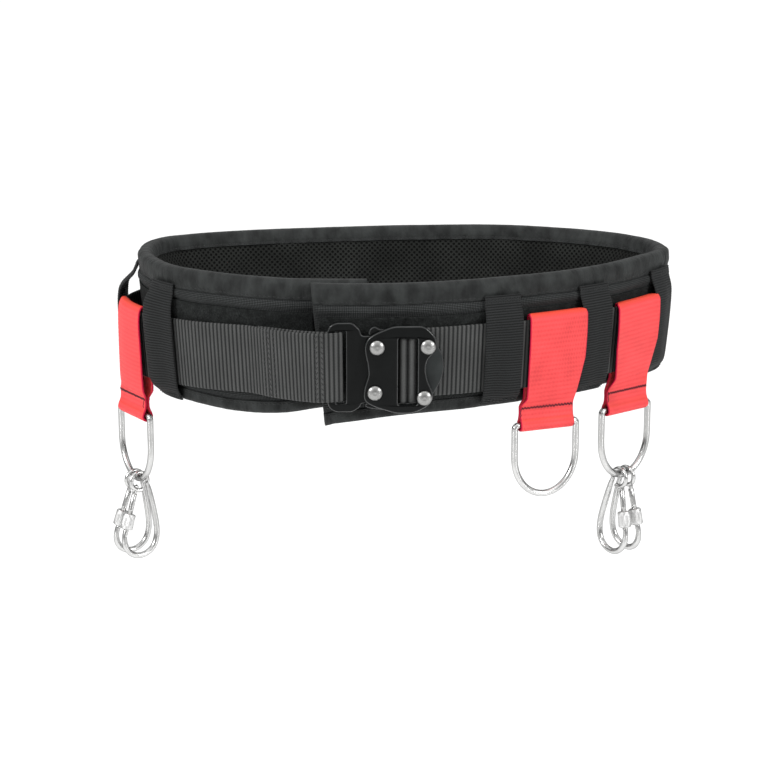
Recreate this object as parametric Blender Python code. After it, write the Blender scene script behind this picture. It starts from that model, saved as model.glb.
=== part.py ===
"""Padded work belt: a waist pad with a grey webbing strap, a two-part plate buckle, black keeper loops,
and red loops that carry D-rings with screw-lock snap hooks. Sizes below are in mm, the model is in metres.
The ring of the belt lies level, +Z is up, the buckle faces -Y, and the origin is the middle of the waist."""

import math

import bmesh
import bpy
from mathutils import Matrix, Vector
from mathutils.geometry import tessellate_polygon

MM = 0.001
GAP = 0.3

# Pad
RIM_TOP = 44.0
LEAN = 0.08
PAD_THICKNESS = 10.5
PAD_STATIONS = 68
TAPE = 1.2
BAND_LOW, BAND_HIGH = -30.0, 24.0
FLAP_SLANT = 3.4
BAND_OUT = 1.3

# Webbing
STRAP_WIDTH = 44.0
STRAP_THICKNESS = 1.8
STRAP_OUT = 3.1
STRAP_OUT_AT_RED = 5.1
STRAP_STATIONS = 68
KEEPER_WIDTH = 25.0
RED_WIDTH = 37.4
WEBBING = 1.6

# Buckle, each pair is the inner and outer face measured outward from the pad
BACK_PLATE = (6.2, 8.2)
TONGUE_PLATE = (8.5, 10.5)
FRONT_PLATE = (10.8, 13.3)
CHAMFER = 0.7
RIVET_RADIUS = 4.7

# D-rings and snap hooks
RING_WIRE = 2.1
RING_HALF_WIDTH = 21.65
RING_DROP = 46.5
RING_STRAIGHT = 21.0
RING_SIDES = 10
HOOK_SIDES = 8
HOOK_SPACING = 3.4
HOOK_SPLAY = math.radians(4)
EYE_DROP = 2.15
PIVOT = (3.4, 9.4)
GATE_ANGLE = math.atan2(4.6, 23.6)
GATE_RADIUS = 1.75
GATE_START, GATE_END = -1.6, 23.2
NUT_RADIUS = 4.2
NUT_BORE = 2.3
NUT_LENGTH = 10.6

# Plan of the pad's outer top edge, from the hidden left end round the back to the free end of the flap.
# Columns: x, y, and the height of the lower edge there.
PAD_RIM = (
    (-14, -100.5, -38.0),
    (-40, -100.5, -39.0),
    (-64, -98.5, -43.0),
    (-84, -92.0, -45.0),
    (-105, -81.5, -46.0),
    (-125, -69.0, -45.0),
    (-142, -54.0, -44.0),
    (-155, -33.0, -44.0),
    (-164, -10.0, -44.0),
    (-168, 14.0, -43.0),
    (-166, 38.0, -42.0),
    (-156, 57.0, -41.0),
    (-143, 67.0, -41.0),
    (-127, 75.0, -41.0),
    (-103, 84.0, -41.0),
    (-63, 93.5, -41.0),
    (-28, 100.0, -41.0),
    (6, 105.0, -41.0),
    (40, 108.0, -41.0),
    (70, 108.5, -41.0),
    (100, 102.0, -41.0),
    (133, 89.5, -40.0),
    (160, 72.0, -40.0),
    (176, 53.0, -39.0),
    (184, 34.0, -38.0),
    (186, 17.0, -37.0),
    (182, 2.0, -37.0),
    (167, -19.0, -37.0),
    (146, -44.0, -37.0),
    (121, -66.0, -37.0),
    (97, -81.0, -38.0),
    (73, -92.5, -39.0),
    (51, -102.0, -39.5),
    (28, -109.5, -40.0),
    (6, -114.0, -41.0),
    (-26, -115.5, -45.0),
    (-49.5, -112.8, -48.2),
)

# The strap stands away from the pad's left side and passes outside these points of the plan. Columns: x, y.
STRAP_BULGE = (
    (-150.0, -45.5),
    (-160.5, -32.0),
    (-168.5, -17.0),
    (-173.5, -2.0),
    (-175.5, 12.0),
    (-174.0, 26.0),
    (-169.0, 40.0),
)

# The strap by the buckle's bar: the outer layer, the turn round the bar, and the tail behind.
# Columns: x and distance out from the pad.
STRAP_TURN = (
    (-70, 8.2),
    (-55, 11.0),
    (-44, 13.8),
    (-38, 13.9),
    (-33, 13.0),
    (-30.2, 11.9),
    (-29.4, 10.4),
    (-30.2, 9.05),
    (-33, 8.5),
    (-38, 9.1),
    (-44, 8.5),
    (-55, 6.2),
    (-70, 4.2),
    (-80, 2.6),
)

# Section of a keeper loop. Columns: height, and the share of the way from the pad out over the strap.
KEEPER_SECTION = (
    (33.6, 0.0),
    (28.0, 0.22),
    (20.5, 0.8),
    (13.0, 1.0),
    (0.0, 1.08),
    (-15.0, 1.06),
    (-28.0, 0.94),
    (-33.0, 0.42),
    (-36.0, 0.0),
)

# Keeper loops. Columns: number, x, y, and the stretch of the lower half.
KEEPERS = (
    (0, -168.0, 14.5, 1.2),
    (1, -145.0, -50.0, 1.2),
    (2, 69.5, -94.5, 1.0),
    (3, 129.2, -59.6, 1.01),
    (4, 177.2, -5.6, 1.02),
)

# Red loops. Columns: letter, x, y, top, height of the ring's bar, how far the lower part turns (degrees),
# stands out and hangs to the side, and how far the snap hooks on its ring swing outward (degrees), if it has them.
RED_LOOPS = (
    ("a", -168.0, -19.0, 13.5, -60.0, 8.0, 4.0, -1.5, 7.0),
    ("b", 103.2, -80.0, 20.0, -52.5, -7.0, 2.0, -3.0, None),
    ("c", 158.3, -33.0, 18.5, -52.5, -10.0, 3.5, -4.7, 1.0),
)

# Buckle outlines. Columns: x and height.
FRONT_OUTLINE = (
    (-14.1, 13.4),
    (-10.4, 16.3),
    (-4.3, 19.0),
    (1.8, 21.3),
    (20.2, 21.3),
    (25.1, 17.1),
    (28.1, 12.8),
    (28.1, 7.1),
    (25.7, 3.6),
    (22.2, -0.6),
    (21.3, -6.4),
    (22.6, -13.5),
    (25.7, -20.4),
    (26.5, -24.8),
    (23.8, -29.4),
    (18.9, -32.6),
    (12.8, -34.8),
    (3.1, -34.6),
    (-9.2, -30.6),
    (-15.3, -27.3),
    (-16.7, -23.5),
    (-15.9, -17.3),
    (-13.4, -9.8),
    (-14.1, -2.3),
    (-15.6, 4.0),
    (-15.9, 9.0),
)
BACK_OUTLINE = (
    (-11.0, 13.0),
    (-4.0, 18.0),
    (22.0, 18.0),
    (26.5, 12.0),
    (29.5, 6.0),
    (32.2, 0.5),
    (33.0, -6.0),
    (32.0, -13.0),
    (29.0, -19.5),
    (24.5, -27.0),
    (17.0, -31.5),
    (3.0, -31.5),
    (-9.0, -28.0),
    (-12.5, -23.0),
    (-11.0, -10.0),
)
TONGUE_OUTLINE = (
    (-38.5, 18.0),
    (-36.8, 21.2),
    (-33.2, 23.0),
    (-23.5, 23.0),
    (-19.0, 19.0),
    (-17.6, 14.6),
    (2.0, 14.6),
    (2.0, -28.4),
    (-17.6, -28.4),
    (-19.0, -31.5),
    (-23.5, -34.3),
    (-33.2, -34.3),
    (-36.8, -32.4),
    (-38.5, -29.5),
)
FRONT_SLOT = (
    (4.6, -28.6),
    (5.6, -29.6),
    (15.6, -29.6),
    (16.6, -28.6),
    (16.6, 13.0),
    (15.6, 14.0),
    (5.6, 14.0),
    (4.6, 13.0),
)
TONGUE_SLOT = ((-33.6, -28.9), (-27.2, -28.9), (-27.2, 18.0), (-33.6, 18.0))
LEVER_TOP = (
    (-13.6, 16.4),
    (-12.0, 19.6),
    (-9.6, 20.6),
    (-6.4, 18.6),
    (14.0, 20.2),
    (14.0, 15.6),
    (-6.0, 15.6),
    (-12.6, 15.0),
)
LEVER_LOW = (
    (-14.6, -28.8),
    (-10.0, -28.8),
    (14.0, -28.8),
    (14.0, -33.4),
    (2.0, -33.4),
    (-10.6, -32.4),
    (-14.6, -31.4),
    (-15.8, -30.0),
)
RIVETS = ((-8.3, 8.0), (-9.6, -21.0), (22.8, 8.2), (20.8, -24.6))

# Centre line of a snap hook's wire. Columns: outward, down, and radius.
HOOK_EYE_TURN = (-30.0, 285.0)
HOOK_EYE_RADIUS = 6.0
HOOK_EYE_WIRE = 1.45
HOOK_BODY = (
    (-7.4, 5.6, 1.7),
    (-9.4, 12.0, 2.0),
    (-12.0, 20.5, 2.0),
    (-14.4, 30.0, 2.0),
    (-14.9, 38.0, 2.0),
    (-12.9, 44.6, 2.0),
    (-8.0, 49.0, 2.0),
    (-1.6, 50.4, 2.0),
    (4.2, 48.2, 2.0),
    (7.8, 43.4, 2.0),
    (8.85, 37.6, 1.75),
)

# Materials. Columns: base colour, roughness, metallic.
MATERIALS = {
    "oxford_black": ((0.012, 0.012, 0.014), 0.8, 0.0),
    "tape_black": ((0.016, 0.016, 0.018), 0.7, 0.0),
    "felt_black": ((0.006, 0.006, 0.007), 1.0, 0.0),
    "webbing_grey": ((0.085, 0.087, 0.09), 0.75, 0.0),
    "webbing_black": ((0.009, 0.009, 0.01), 0.75, 0.0),
    "webbing_red": ((0.75, 0.035, 0.04), 0.65, 0.0),
    "metal_black": ((0.02, 0.022, 0.024), 0.38, 0.8),
    "steel": ((0.72, 0.72, 0.71), 0.28, 1.0),
}


def material(name):
    """The named material, made on first use."""
    found = bpy.data.materials.get(name)
    if found:
        return found
    colour, roughness, metallic = MATERIALS[name]
    made = bpy.data.materials.new(name)
    made.use_nodes = True
    shader = made.node_tree.nodes["Principled BSDF"]
    shader.inputs["Base Color"].default_value = (*colour, 1.0)
    shader.inputs["Roughness"].default_value = roughness
    shader.inputs["Metallic"].default_value = metallic
    made.diffuse_color = (*colour, 1.0)
    return made


def add_solid(name, points, faces, material_name, origin=(0, 0, 0), parent=None):
    """A mesh object from points in mm. The object's origin is put at origin, also in mm."""
    origin = Vector(origin)
    mesh = bpy.data.meshes.new(name)
    mesh.from_pydata([(Vector(p) - origin) * MM for p in points], [], faces)
    mesh.validate()
    mesh.update()
    mesh.materials.append(material(material_name))
    obj = bpy.data.objects.new(name, mesh)
    obj.location = origin * MM
    bpy.context.scene.collection.objects.link(obj)
    if parent:
        obj.parent = parent
        obj.location = origin * MM - parent.matrix_world.translation
    bpy.context.view_layer.update()
    return obj


def spline(rows, steps, closed=False):
    """A smooth curve through the rows, with steps points for each stretch between two rows."""
    count = len(rows)
    out = []
    for i in range(count if closed else count - 1):
        if closed:
            p = [rows[(i + k) % count] for k in (-1, 0, 1, 2)]
        else:
            p = [rows[min(max(i + k, 0), count - 1)] for k in (-1, 0, 1, 2)]
        for j in range(steps):
            t = j / steps
            out.append(
                tuple(
                    0.5 * (2 * b + (c - a) * t + (2 * a - 5 * b + 4 * c - d) * t * t + (3 * b - a - 3 * c + d) * t**3)
                    for a, b, c, d in zip(*p)
                )
            )
    if not closed:
        out.append(tuple(rows[-1]))
    return out


def hull(points):
    """The convex outline of points in the plan, counter-clockwise."""
    points = sorted(points)

    def half(run):
        side = []
        for p in run:
            while len(side) > 1:
                (ax, ay), (bx, by) = side[-2:]
                if (bx - ax) * (p[1] - ay) - (by - ay) * (p[0] - ax) > 0:
                    break
                side.pop()
            side.append(p)
        return side[:-1]

    return half(points) + half(points[::-1])


class Plan:
    """A curve in the plan, followed by its length. Extra columns of its points are carried along."""

    def __init__(self, points, closed):
        self.closed = closed
        self.points = list(points) + ([points[0]] if closed else [])
        self.at = [0.0]
        for a, b in zip(self.points, self.points[1:]):
            self.at.append(self.at[-1] + math.dist(a[:2], b[:2]))
        self.length = self.at[-1]

    def row(self, s):
        s = s % self.length if self.closed else min(max(s, 0.0), self.length)
        low, high = 0, len(self.at) - 1
        while high - low > 1:
            middle = (low + high) // 2
            if self.at[middle] <= s:
                low = middle
            else:
                high = middle
        t = (s - self.at[low]) / max(self.at[high] - self.at[low], 1e-9)
        return [a + (b - a) * t for a, b in zip(self.points[low], self.points[high])]

    def frame(self, s, reach=5.0):
        """The point, the direction of travel and the outward direction at s."""
        x, y = self.row(s)[:2]
        x0, y0 = self.row(s - reach)[:2]
        x1, y1 = self.row(s + reach)[:2]
        along = Vector((x1 - x0, y1 - y0, 0)).normalized()
        side = 1.0 if self.closed else -1.0
        return Vector((x, y, 0)), along, Vector((along.y, -along.x, 0)) * side

    def nearest(self, x, y):
        s, best = 0.0, 1e9
        for i in range(2000):
            at = self.length * i / 2000
            distance = math.dist(self.row(at)[:2], (x, y))
            if distance < best:
                s, best = at, distance
        return s

    def place(self, s, height, out):
        """A point at a height, and at a distance out from the curve's leaning surface."""
        point, _, outward = self.frame(s)
        point = point + outward * (out - LEAN * (RIM_TOP - height))
        return Vector((point.x, point.y, height))


def sweep(stations, section_at, closed):
    """Points and faces of a section carried through stations. section_at(s) gives the section's 3-D points."""
    rings = [section_at(s) for s in stations]
    n = len(rings[0])
    points = [p for ring in rings for p in ring]
    faces = []
    last = len(rings) if closed else len(rings) - 1
    for i in range(last):
        j = (i + 1) % len(rings)
        for k in range(n):
            m = (k + 1) % n
            faces.append((i * n + k, j * n + k, j * n + m, i * n + m))
    if not closed:
        for base, ring in ((0, rings[0]), ((len(rings) - 1) * n, rings[-1])):
            centre = sum(ring, Vector()) / n
            normal = rings[1][0] - rings[0][0] if base == 0 else rings[-2][0] - rings[-1][0]
            side = normal.normalized().orthogonal().normalized()
            other = normal.normalized().cross(side)
            flat = [Vector(((p - centre).dot(side), (p - centre).dot(other), 0)) for p in ring]
            faces += [tuple(base + v for v in tri) for tri in tessellate_polygon([flat])]
    return points, faces


def outward_faces(obj):
    """Turns every face outward."""
    mesh = bmesh.new()
    mesh.from_mesh(obj.data)
    bmesh.ops.recalc_face_normals(mesh, faces=mesh.faces)
    mesh.to_mesh(obj.data)
    mesh.free()
    return obj


def along(plan, start, end, count):
    return [start + (end - start) * i / (count - 1) for i in range(count)]


def pad_section(low):
    """The pad's section, with a narrower rim where the edge tape grips it. Columns: height and distance out."""
    inner = -PAD_THICKNESS
    return (
        (low + 1.6, -2.6),
        (low + 3.0, -1.5),
        (low + 8.2, -1.5),
        (low + 9.0, 0.0),
        (BAND_HIGH, 0.0),
        (28.0, 0.8),
        (30.2, 0.0),
        (30.7, -1.5),
        (42.4, -2.2),
        (42.4, -7.4),
        (34.6, -8.1),
        (30.0, inner),
        (low + 12.0, inner),
        (low + 7.4, -8.1),
        (low + 1.6, -7.4),
    )


def top_tape_section(low):
    return (
        (31.0, 0.0),
        (42.2, 0.0),
        (44.0, -2.0),
        (44.0, -7.6),
        (42.2, -9.6),
        (35.0, -9.6),
        (35.0, -8.4),
        (42.8, -8.0),
        (42.8, -1.6),
        (31.0, -TAPE),
    )


def low_tape_section(low):
    return (
        (low + 8.0, 0.0),
        (low + 1.6, 0.0),
        (low, -2.0),
        (low, -7.6),
        (low + 1.6, -9.6),
        (low + 7.2, -9.6),
        (low + 7.2, -8.4),
        (low + 1.2, -8.0),
        (low + 1.2, -2.0),
        (low + 2.6, -TAPE),
        (low + 8.0, -TAPE),
    )


def band_section(low):
    return (
        (max(BAND_LOW, low + 9.6), GAP),
        (max(BAND_LOW, low + 9.6), BAND_OUT),
        (BAND_HIGH - 1.0, BAND_OUT),
        (BAND_HIGH - 1.0, GAP),
    )


def add_pad_piece(name, plan, section, start, end, count, material_name):
    """A piece with one section that follows the pad from start to end."""

    def section_at(s):
        low = plan.row(s)[2]
        slant = FLAP_SLANT if s == plan.length else 0.0
        return [plan.place(s - slant * (1 - height / RIM_TOP), height, out) for height, out in section(low)]

    points, faces = sweep(along(plan, start, end, count), section_at, False)
    return outward_faces(add_solid(name, points, faces, material_name))


def strap_middle(x, front):
    """Height of the strap's middle line, which sits lower on the left."""
    return -5.5 + 0.05 * max(-120.0, min(0.0, x + 30.0)) * (1.0 if front else 0.8)


def strap_out(s, red_at, length):
    """How far the strap's middle stands out of its plan at s: further where a red loop's back layer lies behind it."""
    near = min(min(abs(s - at), length - abs(s - at)) for at in red_at)
    share = min(max((43.0 - near) / 12.0, 0.0), 1.0)
    return STRAP_OUT + (STRAP_OUT_AT_RED - STRAP_OUT) * share * share * (3 - 2 * share)


def add_strap(plan, red_at):
    """The strap: from behind the buckle's front plate round the waist to the bar, round it and back as a tail."""
    start = plan.nearest(-2.0, -115.5)
    end = plan.nearest(-88.0, -92.0)
    if end < start:
        end += plan.length
    rows = []
    for s in along(plan, start, end, STRAP_STATIONS):
        point, direction, outward = plan.frame(s)
        rows.append((point, direction, outward, strap_out(s % plan.length, red_at, plan.length)))
    for x, out in STRAP_TURN:
        s = plan.nearest(x, -112.0 + max(0.0, -46.0 - x) * 0.6)
        point, direction, outward = plan.frame(s)
        rows.append((point, direction, outward, out))
    centres = [point + outward * out for point, _, outward, out in rows]
    points = []
    for i, (_, _, outward, _) in enumerate(rows):
        a = centres[max(i - 1, 0)]
        b = centres[min(i + 1, len(rows) - 1)]
        direction = (b - a).normalized()
        across = Vector((direction.y, -direction.x, 0)) * (STRAP_THICKNESS / 2)
        middle = strap_middle(centres[i].x, centres[i].y < 40)
        for sign, height in ((1, -0.5), (1, 0.5), (-1, 0.5), (-1, -0.5)):
            z = middle + height * STRAP_WIDTH
            centre = centres[i] - outward * LEAN * (RIM_TOP - z)
            points.append(Vector((centre.x, centre.y, z)) + across * sign)
    faces = []
    for i in range(len(rows) - 1):
        for k in range(4):
            m = (k + 1) % 4
            faces.append((4 * i + k, 4 * i + 4 + k, 4 * i + 4 + m, 4 * i + m))
    last = 4 * (len(rows) - 1)
    faces += [(0, 1, 2, 3), (last, last + 1, last + 2, last + 3)]
    return outward_faces(add_solid("waist_strap", points, faces, "webbing_grey"))


def thick_line(rows, thickness, closed):
    """Left and right sides of a line of (height, out) points."""
    count = len(rows)
    sides = ([], [])
    for i in range(count):
        a = rows[(i - 1) % count] if closed else rows[max(i - 1, 0)]
        b = rows[(i + 1) % count] if closed else rows[min(i + 1, count - 1)]
        dz, dw = b[0] - a[0], b[1] - a[1]
        size = math.hypot(dz, dw)
        for side, sign in zip(sides, (1, -1)):
            z = rows[i][0] + sign * dw / size * thickness / 2
            w = rows[i][1] - sign * dz / size * thickness / 2
            side.append((z, w))
    return sides


def add_keeper(number, x, y, stretch, pad, taut, red_at):
    """A black loop that is sewn to the pad above and below the strap and stands over it."""
    middle = pad.nearest(x, y)

    def section_at(s):
        point, _, outward = pad.frame(s)
        away = 0.0
        for _ in range(4):
            target = point + outward * away
            at = taut.nearest(target.x, target.y)
            away = (taut.frame(at)[0] - point).dot(outward)
        low = 1.9
        high = away + strap_out(at, red_at, taut.length) + 3.1
        rows = [(z * stretch if z < 0 else z, low + (high - low) * share) for z, share in KEEPER_SECTION]
        left, right = thick_line(rows, WEBBING, False)
        return [pad.place(s, z, out) for z, out in left + right[::-1]]

    stations = along(pad, middle - KEEPER_WIDTH / 2, middle + KEEPER_WIDTH / 2, 4)
    points, faces = sweep(stations, section_at, False)
    return outward_faces(add_solid(f"keeper_loop_{number}", points, faces, "webbing_black"))


def red_section(top, bar):
    """Centre line of a red loop's section, closed. Columns: height, and distance out from the strap's middle."""
    seam = bar + 11.5
    lobe = RING_WIRE + 0.4 + WEBBING / 2
    front = [
        (top - 0.8, 1.6),
        (top - 4.0, 3.0),
        (2.0, 3.7),
        (-14.0, 3.4),
        (seam + 9.0, 2.5),
        (seam, 1.0),
        (bar + 5.6, 1.2),
    ]
    turn = [(bar + lobe * math.cos(a), lobe * math.sin(a)) for a in (math.radians(d) for d in (55, 100, 145, 180))]
    back = [(bar + 5.6, -1.2), (seam, -1.0), (seam + 11.0, -2.2), (-14.0, -2.35), (top - 4.0, -2.35), (top - 0.8, -1.5)]
    turn_back = [(z, -w) for z, w in turn[-2::-1]]
    return front + turn + turn_back + back + [(top, 0.2)]


def hanging_frame(s, bar, turn, stand, aside, plan):
    """The frame of a ring's bar: x along the bar, y outward, z up."""
    _, direction, _ = plan.frame(s)
    direction = Matrix.Rotation(math.radians(turn), 3, "Z") @ direction
    centre = plan.place(s, bar, STRAP_OUT_AT_RED + stand) + direction * aside
    outward = Vector((direction.y, -direction.x, 0))
    return Matrix.Translation(centre) @ Matrix((direction, outward, (0, 0, 1))).transposed().to_4x4()


def add_red_loop(letter, s, top, bar, aside, hanging, plan):
    """A red loop round the strap: its two layers meet at the seam, and the ring's bar lies in the tunnel below."""
    outer, inner = thick_line(red_section(top, bar), WEBBING, True)
    count = len(outer)
    stations = along(plan, s - RED_WIDTH / 2, s + RED_WIDTH / 2, 3)
    seam = bar + 11.5
    bend = max(6.0, 2.3 * abs(aside))
    points = []
    for at in stations:
        for z, out in outer + inner:
            bent = plan.place(at, z, out + STRAP_OUT_AT_RED)
            flat = hanging @ Vector((at - s, out, z - bar))
            share = min(max((seam + bend - z) / bend, 0.0), 1.0)
            points.append(bent.lerp(flat, share))
    faces = []
    ring = 2 * count
    for i in range(len(stations) - 1):
        for base in (0, count):
            for k in range(count):
                m = (k + 1) % count
                a = i * ring + base
                faces.append((a + k, a + ring + k, a + ring + m, a + m))
    for base in (0, (len(stations) - 1) * ring):
        for k in range(count):
            m = (k + 1) % count
            faces.append((base + k, base + m, base + count + m, base + count + k))
    return outward_faces(add_solid(f"red_loop_{letter}", points, faces, "webbing_red"))


def inset(outline, amount):
    """The outline moved inward by amount, for an outline in either direction."""
    count = len(outline)
    area = sum(outline[i - 1][0] * outline[i][1] - outline[i][0] * outline[i - 1][1] for i in range(count))
    turn = 1.0 if area > 0 else -1.0
    out = []
    for i, (x, y) in enumerate(outline):
        normals = []
        for a, b in ((outline[i - 1], outline[i]), (outline[i], outline[(i + 1) % count])):
            dx, dy = b[0] - a[0], b[1] - a[1]
            size = math.hypot(dx, dy)
            normals.append((-dy / size * turn, dx / size * turn))
        nx, ny = normals[0][0] + normals[1][0], normals[0][1] + normals[1][1]
        scale = amount * 2 / (nx * nx + ny * ny)
        out.append((x + nx * scale, y + ny * scale))
    return out


def add_plate(name, outline, holes, faces_at, frame, chamfer, material_name, origin=(0, 0, 0)):
    """A flat plate with holes and a chamfered front edge. The frame turns (x, height, out) into the model."""
    back, front = faces_at
    loops = [(list(outline), 1.0)] + [(list(hole), -1.0) for hole in holes]
    points, faces = [], []
    caps = []
    for loop, sign in loops:
        n = len(loop)
        base = len(points)
        levels = ((back, 0.0), (front - chamfer, 0.0), (front, chamfer * sign))
        for out, amount in levels:
            points += [frame @ Vector((x, z, out)) for x, z in inset(loop, amount)]
        for level in range(2):
            for k in range(n):
                m = (k + 1) % n
                a = base + level * n
                faces.append((a + k, a + m, a + n + m, a + n + k))
        caps.append((base, n, loop))
    for level in (0, 2):
        flat = [[Vector((x, z, 0)) for x, z in inset(loop, 0.0)] for _, _, loop in caps]
        index = [base + level * n + k for base, n, _ in caps for k in range(n)]
        faces += [tuple(index[v] for v in tri) for tri in tessellate_polygon(flat)]
    return outward_faces(add_solid(name, points, faces, material_name, origin))


def tube(path, sides, closed, side_at):
    """A round wire along a path of (point, radius). side_at is a direction across every part of the path."""
    rings = []
    count = len(path)
    for i, (point, radius) in enumerate(path):
        a = path[(i - 1) % count][0] if closed else path[max(i - 1, 0)][0]
        b = path[(i + 1) % count][0] if closed else path[min(i + 1, count - 1)][0]
        direction = (b - a).normalized()
        side = side_at.normalized()
        other = direction.cross(side).normalized()
        ring = []
        for k in range(sides):
            turn = 2 * math.pi * (k + 0.5) / sides
            ring.append(point + (side * math.cos(turn) + other * math.sin(turn)) * radius)
        rings.append(ring)
    return sweep(range(count), lambda i: rings[i], closed)


def ring_path(frame):
    """The D-ring's wire: the straight bar on top, two straight legs and a round bottom."""
    half, corner = RING_HALF_WIDTH, 2.4
    rows = [(-half * 0.5, 0.0), (half * 0.5, 0.0), (half - corner, 0.0)]
    rows += [(half - corner * 0.3, -corner * 0.3), (half, -corner), (half, -RING_STRAIGHT * 0.5)]
    depth = RING_DROP - RING_STRAIGHT
    for i in range(13):
        turn = math.pi * i / 12
        rows.append((half * math.cos(turn), -RING_STRAIGHT - depth * math.sin(turn)))
    rows += [(-half, -RING_STRAIGHT * 0.5), (-half, -corner), (-half + corner * 0.3, -corner * 0.3), (-half + corner, 0.0)]
    return [(frame @ Vector((t, 0.0, z)), RING_WIRE) for t, z in rows]


def hook_path(frame):
    """The snap hook's wire: the eye, the spine, the round bottom and the nose."""
    rows = []
    start, end = HOOK_EYE_TURN
    for i in range(15):
        turn = math.radians(start + (end - start) * i / 14)
        rows.append((HOOK_EYE_RADIUS * math.sin(turn), HOOK_EYE_RADIUS * math.cos(turn), HOOK_EYE_WIRE))
    rows += HOOK_BODY
    tip = GATE_END + 0.4
    rows.append((PIVOT[0] + tip * math.sin(GATE_ANGLE), PIVOT[1] + tip * math.cos(GATE_ANGLE), 1.75))
    return [(frame @ Vector((0.0, p, -q)), radius) for p, q, radius in rows]


def add_hook(name, frame, parent):
    """A snap hook in a frame whose x is across the hook, y outward and z up, with its origin on the ring's wire."""
    eye = frame @ Matrix.Translation((0, 0, -EYE_DROP))
    across = frame.to_3x3() @ Vector((1, 0, 0))
    points, faces = tube(hook_path(eye), HOOK_SIDES, False, across)
    body = outward_faces(add_solid(f"{name}_body", points, faces, "steel", frame.translation, parent))
    pivot = Vector((0.0, PIVOT[0], -PIVOT[1]))
    direction = Vector((0.0, math.sin(GATE_ANGLE), -math.cos(GATE_ANGLE)))
    ends = [(eye @ (pivot + direction * at), GATE_RADIUS) for at in (GATE_START, GATE_END)]
    points, faces = tube(ends, HOOK_SIDES, False, across)
    gate = outward_faces(add_solid(f"{name}_gate", points, faces, "steel", eye @ pivot, body))
    low = GATE_END
    high = GATE_END - NUT_LENGTH
    rim = NUT_RADIUS - 0.6
    section = (
        (high, NUT_BORE),
        (high, rim),
        (high + 0.6, NUT_RADIUS),
        (low - 0.6, NUT_RADIUS),
        (low, rim),
        (low, NUT_BORE),
    )
    turned = eye.to_3x3() @ direction
    other = turned.cross(across).normalized()
    points = []
    sides = 12
    for k in range(sides):
        turn = 2 * math.pi * k / sides
        arm = across * math.cos(turn) + other * math.sin(turn)
        points += [eye @ (pivot + direction * at) + arm * radius for at, radius in section]
    n = len(section)
    faces = []
    for k in range(sides):
        m = (k + 1) % sides
        for j in range(n):
            faces.append((k * n + j, m * n + j, m * n + (j + 1) % n, k * n + (j + 1) % n))
    middle = eye @ (pivot + direction * (low + high) / 2)
    outward_faces(add_solid(f"{name}_nut", points, faces, "steel", middle, gate))


def add_ring_set(letter, frame, swing):
    """A D-ring in its red loop's tunnel, with two snap hooks where it has them."""
    outward = frame.to_3x3() @ Vector((0, 1, 0))
    points, faces = tube(ring_path(frame), RING_SIDES, True, outward)
    ring = outward_faces(add_solid(f"ring_{letter}", points, faces, "steel", frame.translation))
    if swing is None:
        return
    depth = RING_DROP - RING_STRAIGHT
    for number, sign in ((1, -1), (2, 1)):
        t = sign * HOOK_SPACING
        z = -RING_STRAIGHT - depth * math.sqrt(1 - (t / RING_HALF_WIDTH) ** 2)
        hang = frame @ Matrix.Translation((t, 0, z)) @ Matrix.Rotation(-sign * HOOK_SPLAY, 4, "Y")
        hang = hang @ Matrix.Rotation(math.radians(swing), 4, "X")
        add_hook(f"hook_{letter}{number}", hang, ring)


def buckle_frame(plan):
    """Turns (x, height, out) by the buckle into the model: upright plates that lean as the pad does."""
    s = plan.nearest(-11.0, -115.0)
    point, direction, _ = plan.frame(s, 14.0)
    if direction.x < 0:
        direction = -direction
    up = Vector((0, -LEAN, 1.0))
    up = (up - direction * up.dot(direction)).normalized()
    out = direction.cross(up).normalized()
    top = point - direction * (point.x / direction.x) + Vector((0, 0, RIM_TOP))
    origin = top - up * RIM_TOP
    return Matrix.Translation(origin) @ Matrix((direction, up, out)).transposed().to_4x4()


def add_buckle(plan):
    """The fastened buckle: back plate, tongue, two levers, front plate and four rivets."""
    frame = buckle_frame(plan)
    add_plate("buckle_back", BACK_OUTLINE, (FRONT_SLOT,), BACK_PLATE, frame, 0.5, "metal_black")
    add_plate("buckle_tongue", TONGUE_OUTLINE, (TONGUE_SLOT,), TONGUE_PLATE, frame, CHAMFER, "metal_black")
    add_plate("buckle_lever_top", LEVER_TOP, (), TONGUE_PLATE, frame, 0.5, "metal_black")
    add_plate("buckle_lever_low", LEVER_LOW, (), TONGUE_PLATE, frame, 0.5, "metal_black")
    add_plate("buckle_front", FRONT_OUTLINE, (FRONT_SLOT,), FRONT_PLATE, frame, CHAMFER, "metal_black")
    for number, (x, z) in enumerate(RIVETS, 1):
        points, faces = [], []
        sides = 12
        section = ((RIVET_RADIUS, 0.0), (RIVET_RADIUS, 0.7), (RIVET_RADIUS * 0.78, 1.9), (RIVET_RADIUS * 0.4, 2.6))
        base = FRONT_PLATE[1] + GAP
        for radius, out in section:
            for k in range(sides):
                turn = 2 * math.pi * k / sides
                points.append(frame @ Vector((x + radius * math.cos(turn), z + radius * math.sin(turn), base + out)))
        for level in range(len(section) - 1):
            for k in range(sides):
                m = (k + 1) % sides
                a = level * sides
                faces.append((a + k, a + m, a + sides + m, a + sides + k))
        faces += [tuple(range(sides)), tuple(range(3 * sides, 4 * sides))]
        outward_faces(add_solid(f"rivet_{number}", points, faces, "steel"))


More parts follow.
